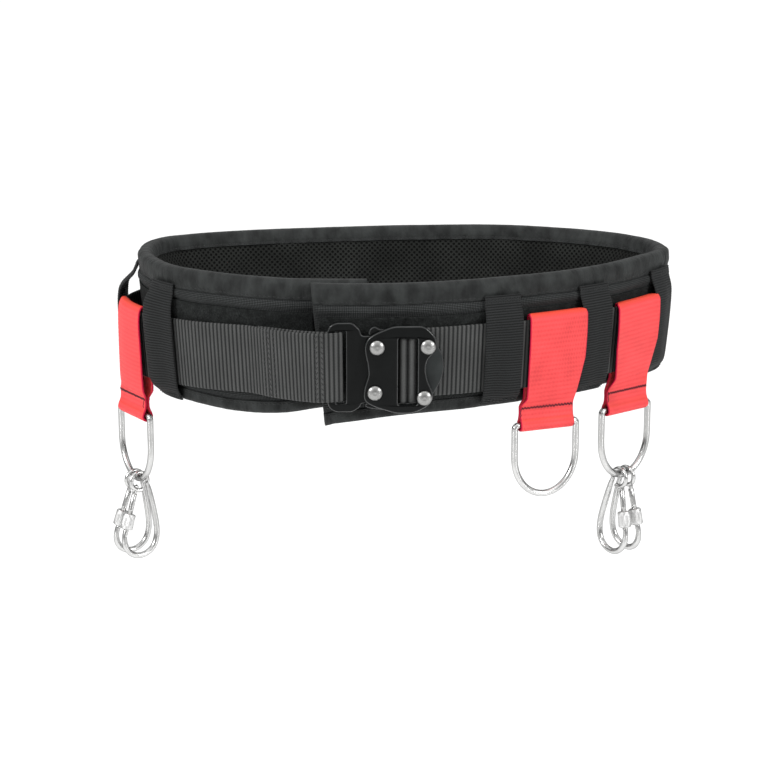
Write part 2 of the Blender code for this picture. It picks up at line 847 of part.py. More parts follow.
def main():
    for obj in list(bpy.data.objects):
        bpy.data.objects.remove(obj, do_unlink=True)
    bpy.context.scene.unit_settings.system = "METRIC"

    pad = Plan(spline(PAD_RIM, 12), False)
    outline = hull([row[:2] for row in pad.points[::3]] + spline(STRAP_BULGE, 6))
    taut = Plan(outline, True)
    red_at = [taut.nearest(x, y) for _, x, y, *_ in RED_LOOPS]

    add_pad_piece("pad", pad, pad_section, 0.0, pad.length, PAD_STATIONS, "oxford_black")
    add_pad_piece("top_binding", pad, top_tape_section, 0.0, pad.length, PAD_STATIONS, "tape_black")
    add_pad_piece("bottom_binding", pad, low_tape_section, 0.0, pad.length, PAD_STATIONS, "tape_black")
    step = pad.length / (PAD_STATIONS - 1)
    add_pad_piece("fuzzy_band", pad, band_section, 3 * step, pad.length, PAD_STATIONS - 3, "felt_black")

    add_strap(taut, red_at)
    for number, x, y, stretch in KEEPERS:
        add_keeper(number, x, y, stretch, pad, taut, red_at)
    add_buckle(pad)
    for (letter, _, _, top, bar, turn, stand, aside, swing), s in zip(RED_LOOPS, red_at):
        hanging = hanging_frame(s, bar, turn, stand, aside, taut)
        add_red_loop(letter, s, top, bar, aside, hanging, taut)
        add_ring_set(letter, hanging, swing)


main()
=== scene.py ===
"""Looks of the padded work belt: its cloth, webbing, stitching, buckle plates, D-rings and snap hooks.
Sizes below are in mm, and the scene is in metres."""

import math

import bmesh
import bpy
from mathutils import Matrix, Vector, noise
from mathutils.geometry import tessellate_polygon


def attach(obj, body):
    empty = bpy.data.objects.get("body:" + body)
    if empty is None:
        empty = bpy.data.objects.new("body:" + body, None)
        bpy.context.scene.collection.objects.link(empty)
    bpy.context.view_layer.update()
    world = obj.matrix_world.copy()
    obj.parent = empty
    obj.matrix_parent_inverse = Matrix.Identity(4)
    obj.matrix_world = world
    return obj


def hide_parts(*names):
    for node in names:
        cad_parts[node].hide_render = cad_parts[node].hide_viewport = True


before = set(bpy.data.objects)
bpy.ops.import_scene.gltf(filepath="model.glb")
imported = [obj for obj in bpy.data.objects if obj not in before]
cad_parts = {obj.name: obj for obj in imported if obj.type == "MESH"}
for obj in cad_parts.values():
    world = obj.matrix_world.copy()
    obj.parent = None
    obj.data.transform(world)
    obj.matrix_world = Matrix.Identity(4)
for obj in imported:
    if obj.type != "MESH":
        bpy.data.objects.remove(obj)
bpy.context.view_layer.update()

MM = 0.001

# Pad
RIM_TOP = 44.0
LEAN = 0.08
FLAP_SLANT = 3.4
FLAP_END = 14.0
PAD_STEP, TAPE_STEP, BAND_STEP = 3.0, 2.0, 1.6
LOW_EDGE = -41.0
BAND_LOW, BAND_SEEN, BAND_HIGH = -30.0, 14.0, 23.4
END_ROUND = 4.5

# Webbing
STRAP_WIDTH = 44.0
STRAP_THICKNESS = 1.9
STRAP_PITCH = 2.9
STRAP_OUT = 3.1
STRAP_OUT_AT_RED = 5.1
STRAP_STATIONS = 68
KEEPER_WIDTH = 25.0
KEEPER_PITCH = 1.65
RED_WIDTH = 37.4
RED_PITCH = 2.9
RED_SEAM = 11.5
WEBBING = 1.6

# Buckle, each pair is the inner and outer face measured outward from the pad
BACK_PLATE = (6.2, 8.2)
TONGUE_PLATE = (8.5, 10.5)
FRONT_PLATE = (10.8, 13.3)

# D-rings and snap hooks, whose gate pivots at (outward, down) from the middle of the eye
RING_WIRE = 2.1
RING_HALF_WIDTH = 21.65
RING_DROP = 46.5
RING_STRAIGHT = 21.0
HOOK_SPACING = 3.4
HOOK_SPLAY = math.radians(4)
EYE_DROP = 2.15
PIVOT = (3.4, 9.4)
GATE_ANGLE = math.atan2(4.6, 23.6)
GATE_RADIUS = 1.75
GATE_START, GATE_END = -1.6, 23.2
NUT_RADIUS = 4.2
NUT_BORE = 2.3
NUT_LENGTH = 10.6

# Plan of the pad's outer top edge, from the hidden left end round the back to the free end of the flap.
# Columns: x, y, and the height of the lower edge there.
PAD_RIM = (
    (-14, -100.5, -38.0), (-40, -100.5, -39.0), (-64, -98.5, -43.0), (-84, -92.0, -45.0),
    (-105, -81.5, -46.0), (-125, -69.0, -45.0), (-142, -54.0, -44.0), (-155, -33.0, -44.0),
    (-164, -10.0, -44.0), (-168, 14.0, -43.0), (-166, 38.0, -42.0), (-156, 57.0, -41.0),
    (-143, 67.0, -41.0), (-127, 75.0, -41.0), (-103, 84.0, -41.0), (-63, 93.5, -41.0), (-28, 100.0, -41.0),
    (6, 105.0, -41.0), (40, 108.0, -41.0), (70, 108.5, -41.0), (100, 102.0, -41.0), (133, 89.5, -40.0),
    (160, 72.0, -40.0), (176, 53.0, -39.0), (184, 34.0, -38.0), (186, 17.0, -37.0), (182, 2.0, -37.0),
    (167, -19.0, -37.0), (146, -44.0, -37.0), (121, -66.0, -37.0), (97, -81.0, -38.0), (73, -92.5, -39.0),
    (51, -102.0, -39.5), (28, -109.5, -40.0), (6, -114.0, -41.0), (-26, -115.5, -45.0),
    (-49.5, -112.8, -48.2),
)

# The strap stands away from the pad's left side and passes outside these points of the plan. Columns: x, y.
STRAP_BULGE = (
    (-150.0, -45.5), (-160.5, -32.0), (-168.5, -17.0), (-173.5, -2.0), (-175.5, 12.0), (-174.0, 26.0),
    (-169.0, 40.0),
)

# The strap by the buckle's bar: the outer layer, the turn round the bar, and the tail behind.
# Columns: x and distance out from the pad.
STRAP_TURN = (
    (-70, 8.2), (-55, 11.0), (-44, 13.8), (-38, 13.9), (-33, 13.1), (-29.8, 12.0), (-28.8, 10.4),
    (-29.8, 9.0), (-33, 8.5), (-38, 9.1), (-44, 8.5), (-55, 6.2), (-70, 4.2), (-80, 2.6),
)

# Section of a keeper loop. Columns: height, and the share of the way from the pad out over the strap.
KEEPER_SECTION = (
    (33.6, 0.0), (28.0, 0.22), (20.5, 0.8), (13.0, 1.0), (0.0, 1.08), (-15.0, 1.06), (-28.0, 0.94),
    (-33.0, 0.42), (-36.0, 0.0),
)

# How far a keeper loop stands off the pad at its ends and off the strap's middle, and the stations of its bar
# tacks, counted from its two ends.
KEEPER_REST, KEEPER_OVER = 1.9, 3.1
KEEPER_TACKS = (9, 15, -14, -8)

# Keeper loops. Columns: number, x, y, and the stretch of the lower half.
KEEPERS = (
    (0, -168.0, 14.5, 1.2), (1, -145.0, -50.0, 1.2), (2, 69.5, -94.5, 1.0), (3, 129.2, -59.6, 1.01),
    (4, 177.2, -5.6, 1.02),
)

# Red loops. Columns: letter, x, y, top, height of the ring's bar, how far the lower part turns (degrees),
# stands out and hangs to the side, and how far the snap hooks on its ring, if any, swing outward (degrees).
RED_LOOPS = (
    ("a", -168.0, -19.0, 13.5, -60.0, 8.0, 4.0, -1.5, 7.0),
    ("b", 103.2, -80.0, 20.0, -52.5, -7.0, 2.0, -3.0, None),
    ("c", 158.3, -33.0, 18.5, -52.5, -10.0, 3.5, -4.7, 1.0),
)

# How far the upper front of each red loop spreads at its two edges.
RED_SPREAD = {"a": (0.6, 0.8), "b": (0.4, 3.4), "c": (3.8, 4.4)}

# How far the front of each red loop stands out above its seam, and at which end of the seam a thread hangs.
RED_BELLY = {"a": 4.4, "b": 0.6, "c": 0.6}
RED_TAIL = {"a": 1, "b": -1, "c": -1}

# Colours of the red webbing: an orange tint painted where it faces upward, as painted light from above, and a
# darker crimson painted along its edges and selvedges, as painted shade.
RED_TOP_LIGHT = (0.5, 0.042, 0.022)
RED_EDGE_SHADE = (0.38, 0.003, 0.03)

# Stitches. Columns: length and radius. The number in a row, or the pitch, comes first.
TAPE_STITCH = (3.2, 3.2 * 0.74, 0.3)
STRAP_STITCH = (13, 3.1, 0.42)
KEEPER_STITCH = (20, 1.9, 0.27)
RED_STITCH = (1.1, 2.3, 0.42)

# Rows of stitches across the strap: x, and whether they slant up or down.
STRAP_SEAMS = ((-79.5, 1), (-76.3, -1), (-73.1, 1), (-45.2, 1), (-42.0, -1))

# Buckle outlines. Columns: x and height.
FRONT_OUTLINE = (
    (-14.1, 13.4), (-10.4, 16.3), (-4.3, 19.0), (1.8, 21.3), (20.2, 21.3), (25.1, 17.1), (28.1, 12.8),
    (28.1, 7.1), (25.7, 3.6), (22.2, -0.6), (21.3, -6.4), (22.6, -13.5), (25.7, -20.4), (26.5, -24.8),
    (23.8, -29.4), (18.9, -32.6), (12.8, -34.8), (3.1, -34.6), (-9.2, -30.6), (-15.3, -27.3),
    (-16.7, -23.5), (-15.9, -17.3), (-13.4, -9.8), (-14.1, -2.3), (-15.6, 4.0), (-15.9, 9.0),
)
BACK_OUTLINE = (
    (-11.0, 13.0), (-4.0, 18.0), (22.0, 18.0), (26.5, 12.0), (29.5, 6.0), (32.2, 0.5), (33.0, -6.0),
    (32.0, -13.0), (29.0, -19.5), (24.5, -27.0), (17.0, -31.5), (3.0, -31.5), (-9.0, -28.0), (-12.5, -23.0),
    (-11.0, -10.0),
)
TONGUE_OUTLINE = (
    (-38.5, 18.0), (-36.8, 21.2), (-33.2, 23.0), (-23.5, 23.0), (-19.0, 19.0), (-17.6, 14.6), (2.0, 14.6),
    (2.0, -28.4), (-17.6, -28.4), (-19.0, -31.5), (-23.5, -34.3), (-33.2, -34.3), (-36.8, -32.4),
    (-38.5, -29.5),
)
FRONT_SLOT = (
    (4.6, -28.6), (5.6, -29.6), (15.6, -29.6), (16.6, -28.6), (16.6, 13.0), (15.6, 14.0), (5.6, 14.0),
    (4.6, 13.0),
)
TONGUE_SLOT = ((-33.6, -28.9), (-27.2, -28.9), (-27.2, 18.0), (-33.6, 18.0))
LEVER_TOP = (
    (-13.6, 16.4), (-12.0, 19.6), (-9.6, 20.6), (-6.4, 18.6), (14.0, 20.2), (14.0, 15.6), (-6.0, 15.6),
    (-12.6, 15.0),
)
LEVER_LOW = (
    (-14.6, -28.8), (-10.0, -28.8), (14.0, -28.8), (14.0, -33.4), (2.0, -33.4), (-10.6, -32.4),
    (-14.6, -31.4), (-15.8, -30.0),
)
RIVETS = ((-8.3, 8.0), (-9.6, -21.0), (22.8, 8.2), (20.8, -24.6))

# The webbing that shows in the front plate's slot, and how far out its two rolls begin.
SLOT_WEBBING_LEFT, SLOT_WEBBING_WIDTH = 4.9, 11.4
SLOT_WEBBING_OUT = 8.8

# A rivet's head. Columns: distance out, and radius.
RIVET_PROFILE = (
    (0.0, 4.5), (0.15, 4.7), (0.55, 4.68), (1.0, 4.35), (1.5, 3.7), (1.95, 2.85), (2.3, 1.95), (2.45, 1.3),
    (2.4, 0.8), (2.3, 0.3),
)

# Centre line of a snap hook's wire. Columns: outward, down, and radius.
HOOK_EYE_TURN = (-30.0, 285.0)
HOOK_EYE_RADIUS = 6.0
HOOK_EYE_WIRE = 1.45
HOOK_BODY = (
    (-7.4, 5.6, 1.7), (-9.4, 12.0, 2.0), (-12.0, 20.5, 2.0), (-14.4, 30.0, 2.0), (-14.9, 38.0, 2.0),
    (-12.9, 44.6, 2.0), (-8.0, 49.0, 2.0), (-1.6, 50.4, 2.0), (4.2, 48.2, 2.0), (7.8, 43.4, 2.0),
    (8.85, 37.6, 1.75),
)

# The end of the wire that the gate turns on. Columns: across, outward, up, and radius.
HOOK_LUG = (
    (0.0, 2.6, -4.4, 1.3), (0.0, 3.2, -6.4, 1.4), (0.0, 3.4, -8.4, 1.4), (0.0, 3.5, -10.4, 1.2),
    (0.0, 3.6, -11.0, 0.6),
)

# Studio, in metres. Lights: name, place, side and power (W). The focal length is in heights of the picture.
FLOOR_SIZE, FLOOR_LEVEL = 40.0, -0.9
LIGHTS = (
    ("key", (-1.5, -1.25, 0.9), 0.6, 34.0),
    ("fill", (1.65, -1.15, 0.7), 0.6, 26.0),
    ("top", (0.1, -0.4, 1.8), 1.2, 8.0),
    ("low_left", (-1.15, -1.0, -0.44), 0.22, 0.9),
    ("low_right", (1.2, -0.9, -0.42), 0.18, 0.7),
)
CAMERA_TILT = math.radians(14)
CAMERA_DISTANCE = 1.5
CAMERA_AIM = (0, 0.036, -0.060)
CAMERA_FOCUS = 2179.5 / 781


# Curves


def clamp(value):
    return min(max(value, 0.0), 1.0)


def soft_step(value):
    value = clamp(value)
    return value * value * (3 - 2 * value)


def spline(rows, steps, closed=False):
    """A smooth curve through the rows, with steps points for each stretch between two rows."""
    count = len(rows)
    out = []

    def blend(a, b, c, d, t):
        second, third = 2 * a - 5 * b + 4 * c - d, 3 * b - a - 3 * c + d
        return 0.5 * (2 * b + (c - a) * t + second * t * t + third * t**3)

    for i in range(count if closed else count - 1):
        if closed:
            p = [rows[(i + k) % count] for k in (-1, 0, 1, 2)]
        else:
            p = [rows[min(max(i + k, 0), count - 1)] for k in (-1, 0, 1, 2)]
        for j in range(steps):
            out.append(tuple(blend(*column, j / steps) for column in zip(*p)))
    if not closed:
        out.append(tuple(rows[-1]))
    return out


def lengths(rows, closed=False):
    """The length along the rows up to each of them, and back to the first if closed."""
    at = [0.0]
    ends = list(rows[1:]) + ([rows[0]] if closed else [])
    for a, b in zip(rows, ends):
        at.append(at[-1] + math.dist(a, b))
    return at


def even(rows, count, closed=False, columns=None):
    """count points spaced evenly along the rows, and how far along each one is, by their first columns."""
    at = lengths([row[:columns] for row in rows], closed)
    rows = list(rows) + ([rows[0]] if closed else [])
    total = at[-1]
    out, place, low = [], [], 0
    for i in range(count):
        s = total * i / (count if closed else count - 1)
        while low < len(at) - 2 and at[low + 1] < s:
            low += 1
        t = (s - at[low]) / max(at[low + 1] - at[low], 1e-9)
        out.append(tuple(a + (b - a) * t for a, b in zip(rows[low], rows[low + 1])))
        place.append(s)
    return out, place + ([total] if closed else [])


def axes_at(origin, *axes):
    """The frame with its origin and its three axes there."""
    return Matrix.Translation(origin) @ Matrix(axes).transposed().to_4x4()


def hull(points):
    """The convex outline of points in the plan, counter-clockwise."""
    points = sorted(points)

    def half(run):
        side = []
        for p in run:
            while len(side) > 1:
                (ax, ay), (bx, by) = side[-2:]
                if (bx - ax) * (p[1] - ay) - (by - ay) * (p[0] - ax) > 0:
                    break
                side.pop()
            side.append(p)
        return side[:-1]

    return half(points) + half(points[::-1])


class Plan:
    """A curve in the plan, followed by its length. Extra columns of its points are carried along."""

    def __init__(self, points, closed):
        self.closed = closed
        self.points = list(points) + ([points[0]] if closed else [])
        self.at = lengths([p[:2] for p in self.points])
        self.length = self.at[-1]
        self.samples = [(self.length * i / 2000, *self.row(self.length * i / 2000)[:2]) for i in range(2000)]

    def row(self, s):
        s = s % self.length if self.closed else min(max(s, 0.0), self.length)
        low, high = 0, len(self.at) - 1
        while high - low > 1:
            middle = (low + high) // 2
            if self.at[middle] <= s:
                low = middle
            else:
                high = middle
        t = (s - self.at[low]) / max(self.at[high] - self.at[low], 1e-9)
        return [a + (b - a) * t for a, b in zip(self.points[low], self.points[high])]

    def frame(self, s, reach=5.0):
        """The point, the direction of travel and the outward direction at s."""
        x, y = self.row(s)[:2]
        x0, y0 = self.row(s - reach)[:2]
        x1, y1 = self.row(s + reach)[:2]
        along = Vector((x1 - x0, y1 - y0, 0)).normalized()
        side = 1.0 if self.closed else -1.0
        return Vector((x, y, 0)), along, Vector((along.y, -along.x, 0)) * side

    def nearest(self, x, y):
        return min(self.samples, key=lambda row: (row[1] - x) ** 2 + (row[2] - y) ** 2)[0]

    def place(self, s, height, out):
        """A point at a height, and at a distance out from the curve's leaning surface."""
        point, _, outward = self.frame(s)
        point = point + outward * (out - LEAN * (RIM_TOP - height))
        return Vector((point.x, point.y, height))


# Meshes


def finish_mesh(name, points, faces, corners, material, body, nodes=(), sharp=None):
    """A smooth mesh object from points in mm, riding on a body and standing for CAD nodes."""
    mesh = bpy.data.meshes.new(name)
    mesh.from_pydata([Vector(p) * MM for p in points], [], faces)
    if corners:
        layer = mesh.uv_layers.new(name="cloth")
        flat = [value * MM for corner in corners for value in corner]
        layer.data.foreach_set("uv", flat)
    work = bmesh.new()
    work.from_mesh(mesh)
    bmesh.ops.recalc_face_normals(work, faces=work.faces)
    work.to_mesh(mesh)
    work.free()
    mesh.shade_smooth()
    if sharp:
        mesh.set_sharp_from_angle(angle=math.radians(sharp))
    for one in material if isinstance(material, (list, tuple)) else (material,):
        mesh.materials.append(one)
    obj = bpy.data.objects.new(name, mesh)
    bpy.context.scene.collection.objects.link(obj)
    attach(obj, body)
    if nodes:
        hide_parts(*nodes)
    return obj


def walls(base, n, levels):
    """The faces that join rings of n points, whose first point is base."""
    starts = range(base, base + (levels - 1) * n, n)
    return [(a + k, a + (k + 1) % n, a + n + (k + 1) % n, a + n + k) for a in starts for k in range(n)]


def circle(side, other, sides):
    """Directions all round, from side toward other."""
    turns = [2 * math.pi * k / sides for k in range(sides)]
    return [side * math.cos(turn) + other * math.sin(turn) for turn in turns]


def skin(name, rings, us, vs, material, body, nodes=(), closed=False, sharp=None):
    """A closed form from rings of points. us and vs give the place of each ring and of each point in it."""
    n = len(rings[0])
    points = [p for ring in rings for p in ring]
    faces, corners = [], []
    last = len(rings) if closed else len(rings) - 1
    for i in range(last):
        j = (i + 1) % len(rings)
        for k in range(n):
            m = (k + 1) % n
            faces.append((i * n + k, j * n + k, j * n + m, i * n + m))
            corners += [(us[i], vs[k]), (us[i + 1], vs[k]), (us[i + 1], vs[k + 1]), (us[i], vs[k + 1])]
    if not closed:
        for base in (0, (len(rings) - 1) * n):
            faces.append(tuple(range(base, base + n)))
            corners += [(us[0], v) for v in vs[:n]]
    return finish_mesh(name, points, faces, corners, material, body, nodes, sharp)


def ribbon(name, outer, inner, across, along, closed, material, body, nodes=()):
    """A band of webbing from lines of points on its outer and inner faces, each line running the long way."""
    m, n = len(outer), len(outer[0])
    half = m * n
    points = [p for line in outer for p in line] + [p for line in inner for p in line]
    faces, corners = [], []
    last = n if closed else n - 1

    def add(*places):
        faces.append(tuple(side * half + i * n + j % n for side, i, j in places))
        corners.extend((across[i], along[j]) for _, i, j in places)

    for i in range(m - 1):
        for j in range(last):
            add((0, i, j), (0, i + 1, j), (0, i + 1, j + 1), (0, i, j + 1))
            add((1, i, j), (1, i, j + 1), (1, i + 1, j + 1), (1, i + 1, j))
    for i in (0, m - 1):
        for j in range(last):
            add((0, i, j), (0, i, j + 1), (1, i, j + 1), (1, i, j))
    if not closed:
        for j in (0, n - 1):
            for i in range(m - 1):
                add((0, i, j), (0, i + 1, j), (1, i + 1, j), (1, i, j))
    return finish_mesh(name, points, faces, corners, material, body, nodes)


def tube(name, path, sides, closed, side_at, material, body, nodes=()):
    """A round wire along a path of (point, radius). side_at is a direction across every part of the path."""
    rings = []
    count = len(path)
    side = side_at.normalized()
    for i, (point, radius) in enumerate(path):
        a = path[(i - 1) % count][0] if closed else path[max(i - 1, 0)][0]
        b = path[(i + 1) % count][0] if closed else path[min(i + 1, count - 1)][0]
        other = (b - a).normalized().cross(side).normalized()
        rings.append([point + arm * radius for arm in circle(side, other, sides)])
    us = lengths([p for p, _ in path], closed)
    vs = [2 * math.pi * path[0][1] * k / sides for k in range(sides + 1)]
    return skin(name, rings, us, vs, material, body, nodes, closed)


def smooth_path(rows, steps, closed):
    """A finer path of (point, radius) through rows of x, y, z and radius."""
    return [(Vector(row[:3]), row[3]) for row in spline(rows, steps, closed)]


def turned(name, profile, sides, base, axis, material, body, nodes=(), wave=None, sharp=40):
    """A turned form. Profile rows: distance along the axis, and radius, which wave changes round it."""
    axis = axis.normalized()
    side = axis.orthogonal().normalized()
    arms = list(enumerate(circle(side, axis.cross(side), sides)))
    rings = []
    for at, radius in profile:
        sizes = [radius * (wave(k, at) if wave else 1.0) for k in range(sides)]
        rings.append([base + axis * at + arm * sizes[k] for k, arm in arms])
    us = [at for at, _ in profile]
    vs = [2 * math.pi * 4 * k / sides for k in range(sides + 1)]
    return skin(name, rings, us, vs, material, body, nodes, False, sharp)


def stitches(name, rows, material, body, sides=6):
    """Threads that stand out of the cloth. Rows: middle, direction, outward direction, length and radius."""
    points, faces = [], []
    shape = ((-0.5, 0.2), (-0.36, 0.8), (0.0, 1.0), (0.36, 0.8), (0.5, 0.2))
    for middle, direction, outward, length, radius in rows:
        direction = direction.normalized()
        side = direction.cross(outward).normalized()
        up = side.cross(direction).normalized()
        base = len(points)
        for at, size in shape:
            for k in range(sides):
                turn = 2 * math.pi * k / sides
                arm = side * math.cos(turn) + up * math.sin(turn) * 0.8
                sink = up * (1 - size) * -radius * 0.8
                points.append(middle + direction * at * length + arm * size * radius + sink)
        faces += walls(base, sides, len(shape))
        faces.append(tuple(range(base, base + sides)))
        faces.append(tuple(range(base + 4 * sides, base + 5 * sides)))
    return finish_mesh(name, points, faces, None, material, body)


# Materials


class Nodes:
    """A node tree, with short ways to add to it."""

    def __init__(self, tree):
        self.tree = tree

    def plug(self, value, socket):
        if isinstance(value, bpy.types.NodeSocket):
            self.tree.links.new(value, socket)
        else:
            socket.default_value = value

    def node(self, kind, inputs=None, **settings):
        made = self.tree.nodes.new(kind)
        for key, value in settings.items():
            setattr(made, key, value)
        for key, value in (inputs or {}).items():
            self.plug(value, made.inputs[key])
        return made

    def math(self, operation, *values):
        return self.node("ShaderNodeMath", dict(enumerate(values)), operation=operation).outputs[0]

    def mix(self, share, a, b, blend="MIX"):
        inputs = {0: share, 6: a, 7: b}
        return self.node("ShaderNodeMix", inputs, data_type="RGBA", blend_type=blend).outputs[2]

    def place(self, kind):
        return self.node("ShaderNodeTexCoord").outputs[kind]

    def split(self, value):
        return self.node("ShaderNodeSeparateXYZ", {0: value}).outputs

    def ramp(self, value, *stops):
        """A colour between two stops, each a place and a colour, or one number for a grey."""
        made = self.node("ShaderNodeValToRGB", {0: value})
        for element, (at, colour) in zip(made.color_ramp.elements, stops):
            element.position = at
            element.color = (*(colour if isinstance(colour, tuple) else (colour,) * 3), 1.0)
        return made.outputs[0]

    def shade(self, colour, value, *stops):
        """The colour made darker and lighter by a ramp of the value."""
        return self.mix(1.0, colour, self.ramp(value, *stops), "MULTIPLY")


class Look(Nodes):
    """A material's node tree. UV coordinates are in metres on the cloth."""

    def __init__(self, name, roughness, metallic=0.0, sheen=0.0, specular=0.5):
        self.material = bpy.data.materials.new(name)
        self.material.use_nodes = True
        super().__init__(self.material.node_tree)
        self.shader = self.tree.nodes["Principled BSDF"]
        for key, value in (
            ("Roughness", roughness),
            ("Metallic", metallic),
            ("Sheen Weight", sheen),
            ("Sheen Roughness", 0.45),
            ("Specular IOR Level", specular),
        ):
            self.plug(value, self.shader.inputs[key])

    def cloth(self):
        """The two coordinates on the cloth, in mm: across and along."""
        parts = self.split(self.node("ShaderNodeUVMap", uv_map="cloth").outputs[0])
        return [self.math("MULTIPLY", parts[k], 1000.0) for k in (0, 1)]

    def wave(self, value, pitch):
        """A wave from -1 to 1 that repeats each pitch."""
        return self.math("SINE", self.math("MULTIPLY", value, 2 * math.pi / pitch))

    def noise(self, size, detail=3.0, roughness=0.55):
        """Noise from 0 to 1 with features of about that size, in mm."""
        inputs = {"Vector": self.place("Object"), "Scale": 1000.0 / size, "Detail": detail}
        inputs["Roughness"] = roughness
        return self.node("ShaderNodeTexNoise", inputs).outputs["Fac"]

    def streaks(self, u, v, across, along, detail=3.0):
        """Noise from 0 to 1 on the cloth, with features of those sizes in mm."""
        inputs = {0: self.math("DIVIDE", u, across), 1: self.math("DIVIDE", v, along)}
        at = self.node("ShaderNodeCombineXYZ", inputs).outputs[0]
        return self.node("ShaderNodeTexNoise", {"Vector": at, "Scale": 1.0, "Detail": detail}).outputs["Fac"]

    def colour(self, value):
        self.plug(value, self.shader.inputs["Base Color"])

    def rough(self, value, low, high):
        """Roughness from low to high with the value."""
        made = self.node("ShaderNodeMapRange", {0: value, "To Min": low, "To Max": high})
        self.plug(made.outputs[0], self.shader.inputs["Roughness"])

    def bumps(self, *layers):
        """Bump layers, each a height value, a strength and a depth in mm."""
        inputs = {}
        for height, strength, depth in layers:
            inputs.update({"Strength": strength, "Distance": depth * MM, "Height": height})
            inputs["Normal"] = self.node("ShaderNodeBump", inputs).outputs[0]
        self.plug(inputs["Normal"], self.shader.inputs["Normal"])


def oxford_look():
    """Black Oxford nylon: a coarse basket weave with slight wear, its colour painted lighter on the raised
    threads as highlight and darker between them as shade.
    """
    look = Look("oxford_cloth", 0.78, sheen=0.015, specular=0.12)
    u, v = look.cloth()
    a = look.wave(look.math("ADD", u, v), 2.2)
    b = look.wave(look.math("SUBTRACT", u, v), 2.2)
    weave = look.math("MULTIPLY_ADD", look.math("MULTIPLY", a, b), 0.5, 0.5)
    large = look.noise(28)
    # Painted highlight and shade: the colour follows the weave's height, lighter on the raised threads.
    colour = look.ramp(weave, (0.4, (0.0035, 0.004, 0.004)), (0.95, (0.05, 0.053, 0.053)))
    look.colour(look.shade(colour, large, (0.35, 0.75), (0.7, 1.25)))
    look.rough(large, 0.68, 0.88)
    look.bumps((look.noise(9), 0.5, 0.8), (weave, 0.8, 0.35))
    return look.material


def mesh_look():
    """Black air mesh of the inner face: an open knit of diamond holes, painted dark inside the holes as
    shade.
    """
    look = Look("air_mesh", 0.85, sheen=0.01, specular=0.06)
    u, v = look.cloth()
    holes = look.math("MULTIPLY", look.wave(u, 3.8), look.wave(v, 3.7))
    hole = look.math("SMOOTH_MAX", holes, 0.0, 0.2)
    thread = look.math("MULTIPLY_ADD", look.wave(look.math("ADD", u, v), 0.8), 0.12, 0.5)
    # Painted shade: the holes are coloured near black, as hollows in shade.
    colour = look.ramp(hole, (0.1, (0.0115, 0.0122, 0.0113)), (0.34, (0.0016, 0.0017, 0.0016)))
    look.colour(look.shade(colour, look.noise(35), (0.35, 0.7), (0.7, 1.3)))
    depth = look.math("SUBTRACT", 1.0, hole)
    look.bumps((look.noise(14), 0.4, 1.0), (thread, 0.3, 0.15), (depth, 1.0, 0.8))
    return look.material


def tape_look():
    """Black edge tape: a fine close rib with soft creases, its colour painted darker in the creases and
    between the ribs as shade.
    """
    look = Look("edge_tape", 0.66, sheen=0.015, specular=0.14)
    u, v = look.cloth()
    rib = look.math("MULTIPLY_ADD", look.wave(u, 0.75), 0.5, 0.5)
    crease = look.streaks(u, v, 9.0, 16.0, 4.0)
    pucker = look.streaks(u, v, 2.6, 14.0)
    # Painted shade: the colour darkens where the crease and rib heights are low.
    colour = look.ramp(crease, (0.34, (0.0062, 0.0068, 0.0067)), (0.66, (0.0225, 0.0245, 0.024)))
    look.colour(look.shade(colour, rib, (0.0, 0.86), (1.0, 1.08)))
    look.rough(crease, 0.55, 0.78)
    look.bumps((crease, 1.0, 2.4), (pucker, 0.8, 0.8), (rib, 0.35, 0.12))
    return look.material


def felt_look():
    """Matted loop pile of the touch band."""
    look = Look("loop_pile", 0.95, sheen=0.02, specular=0.05)
    pile = look.noise(0.9, 5.0, 0.7)
    patch = look.noise(5.0, 3.0)
    colour = look.ramp(pile, (0.32, (0.0024, 0.0026, 0.0026)), (0.72, (0.0225, 0.0245, 0.024)))
    look.colour(look.shade(colour, patch, (0.3, 0.6), (0.75, 1.35)))
    look.bumps((patch, 0.6, 0.8), (pile, 1.0, 0.7))
    return look.material


def webbing_look(name, pitch, dark, light, grain, roughness, sheen, top_light=None):
    """Webbing with ribs across its length, whose colour is painted darker in the grooves as shade and lighter
    on the crests as highlight: dark is the painted groove shade and light the painted crest highlight.
    grain is the pitch of the fine marks along each rib, and the last colour, where given, is painted light
    where the webbing faces upward."""
    look = Look(name, roughness, sheen=sheen, specular=0.14)
    u, v = look.cloth()
    crest = look.math("COSINE", look.math("MULTIPLY", v, 2 * math.pi / pitch))
    rib = look.math("MULTIPLY_ADD", crest, 0.5, 0.5)
    shift = look.math("MULTIPLY", look.math("FLOOR", look.math("DIVIDE", v, pitch)), 0.5 * grain)
    tooth = look.math("MULTIPLY_ADD", look.wave(look.math("ADD", u, shift), grain), 0.5, 0.5)
    large = look.noise(17)
    # Painted shade and highlight: the colour follows the rib, darker in its grooves and lighter on its
    # crests.
    colour = look.ramp(rib, (0.05, dark), (0.8, light))
    colour = look.shade(colour, large, (0.3, 0.86), (0.75, 1.12))
    colour = look.shade(colour, tooth, (0.2, 0.8), (0.8, 1.06))
    if top_light:
        # Painted light: the faces turned upward take the orange tint.
        up = look.ramp(look.split(look.place("Normal"))[2], (0.25, 0.0), (0.8, 1.0))
        colour = look.mix(up, colour, (*top_light, 1.0))
        # Painted shade: the edges and selvedges take the darker crimson.
        edge = look.math("SUBTRACT", look.math("ABSOLUTE", u), RED_WIDTH / 2 - 0.75)
        edge = look.ramp(look.math("MULTIPLY", edge, 2.0), (0.05, 0.0), (0.9, 1.0))
        colour = look.mix(edge, colour, (*RED_EDGE_SHADE, 1.0))
    look.colour(colour)
    look.rough(large, roughness - 0.08, roughness + 0.1)
    look.bumps((large, 0.25, 0.8), (tooth, 0.5, 0.16))
    return look.material


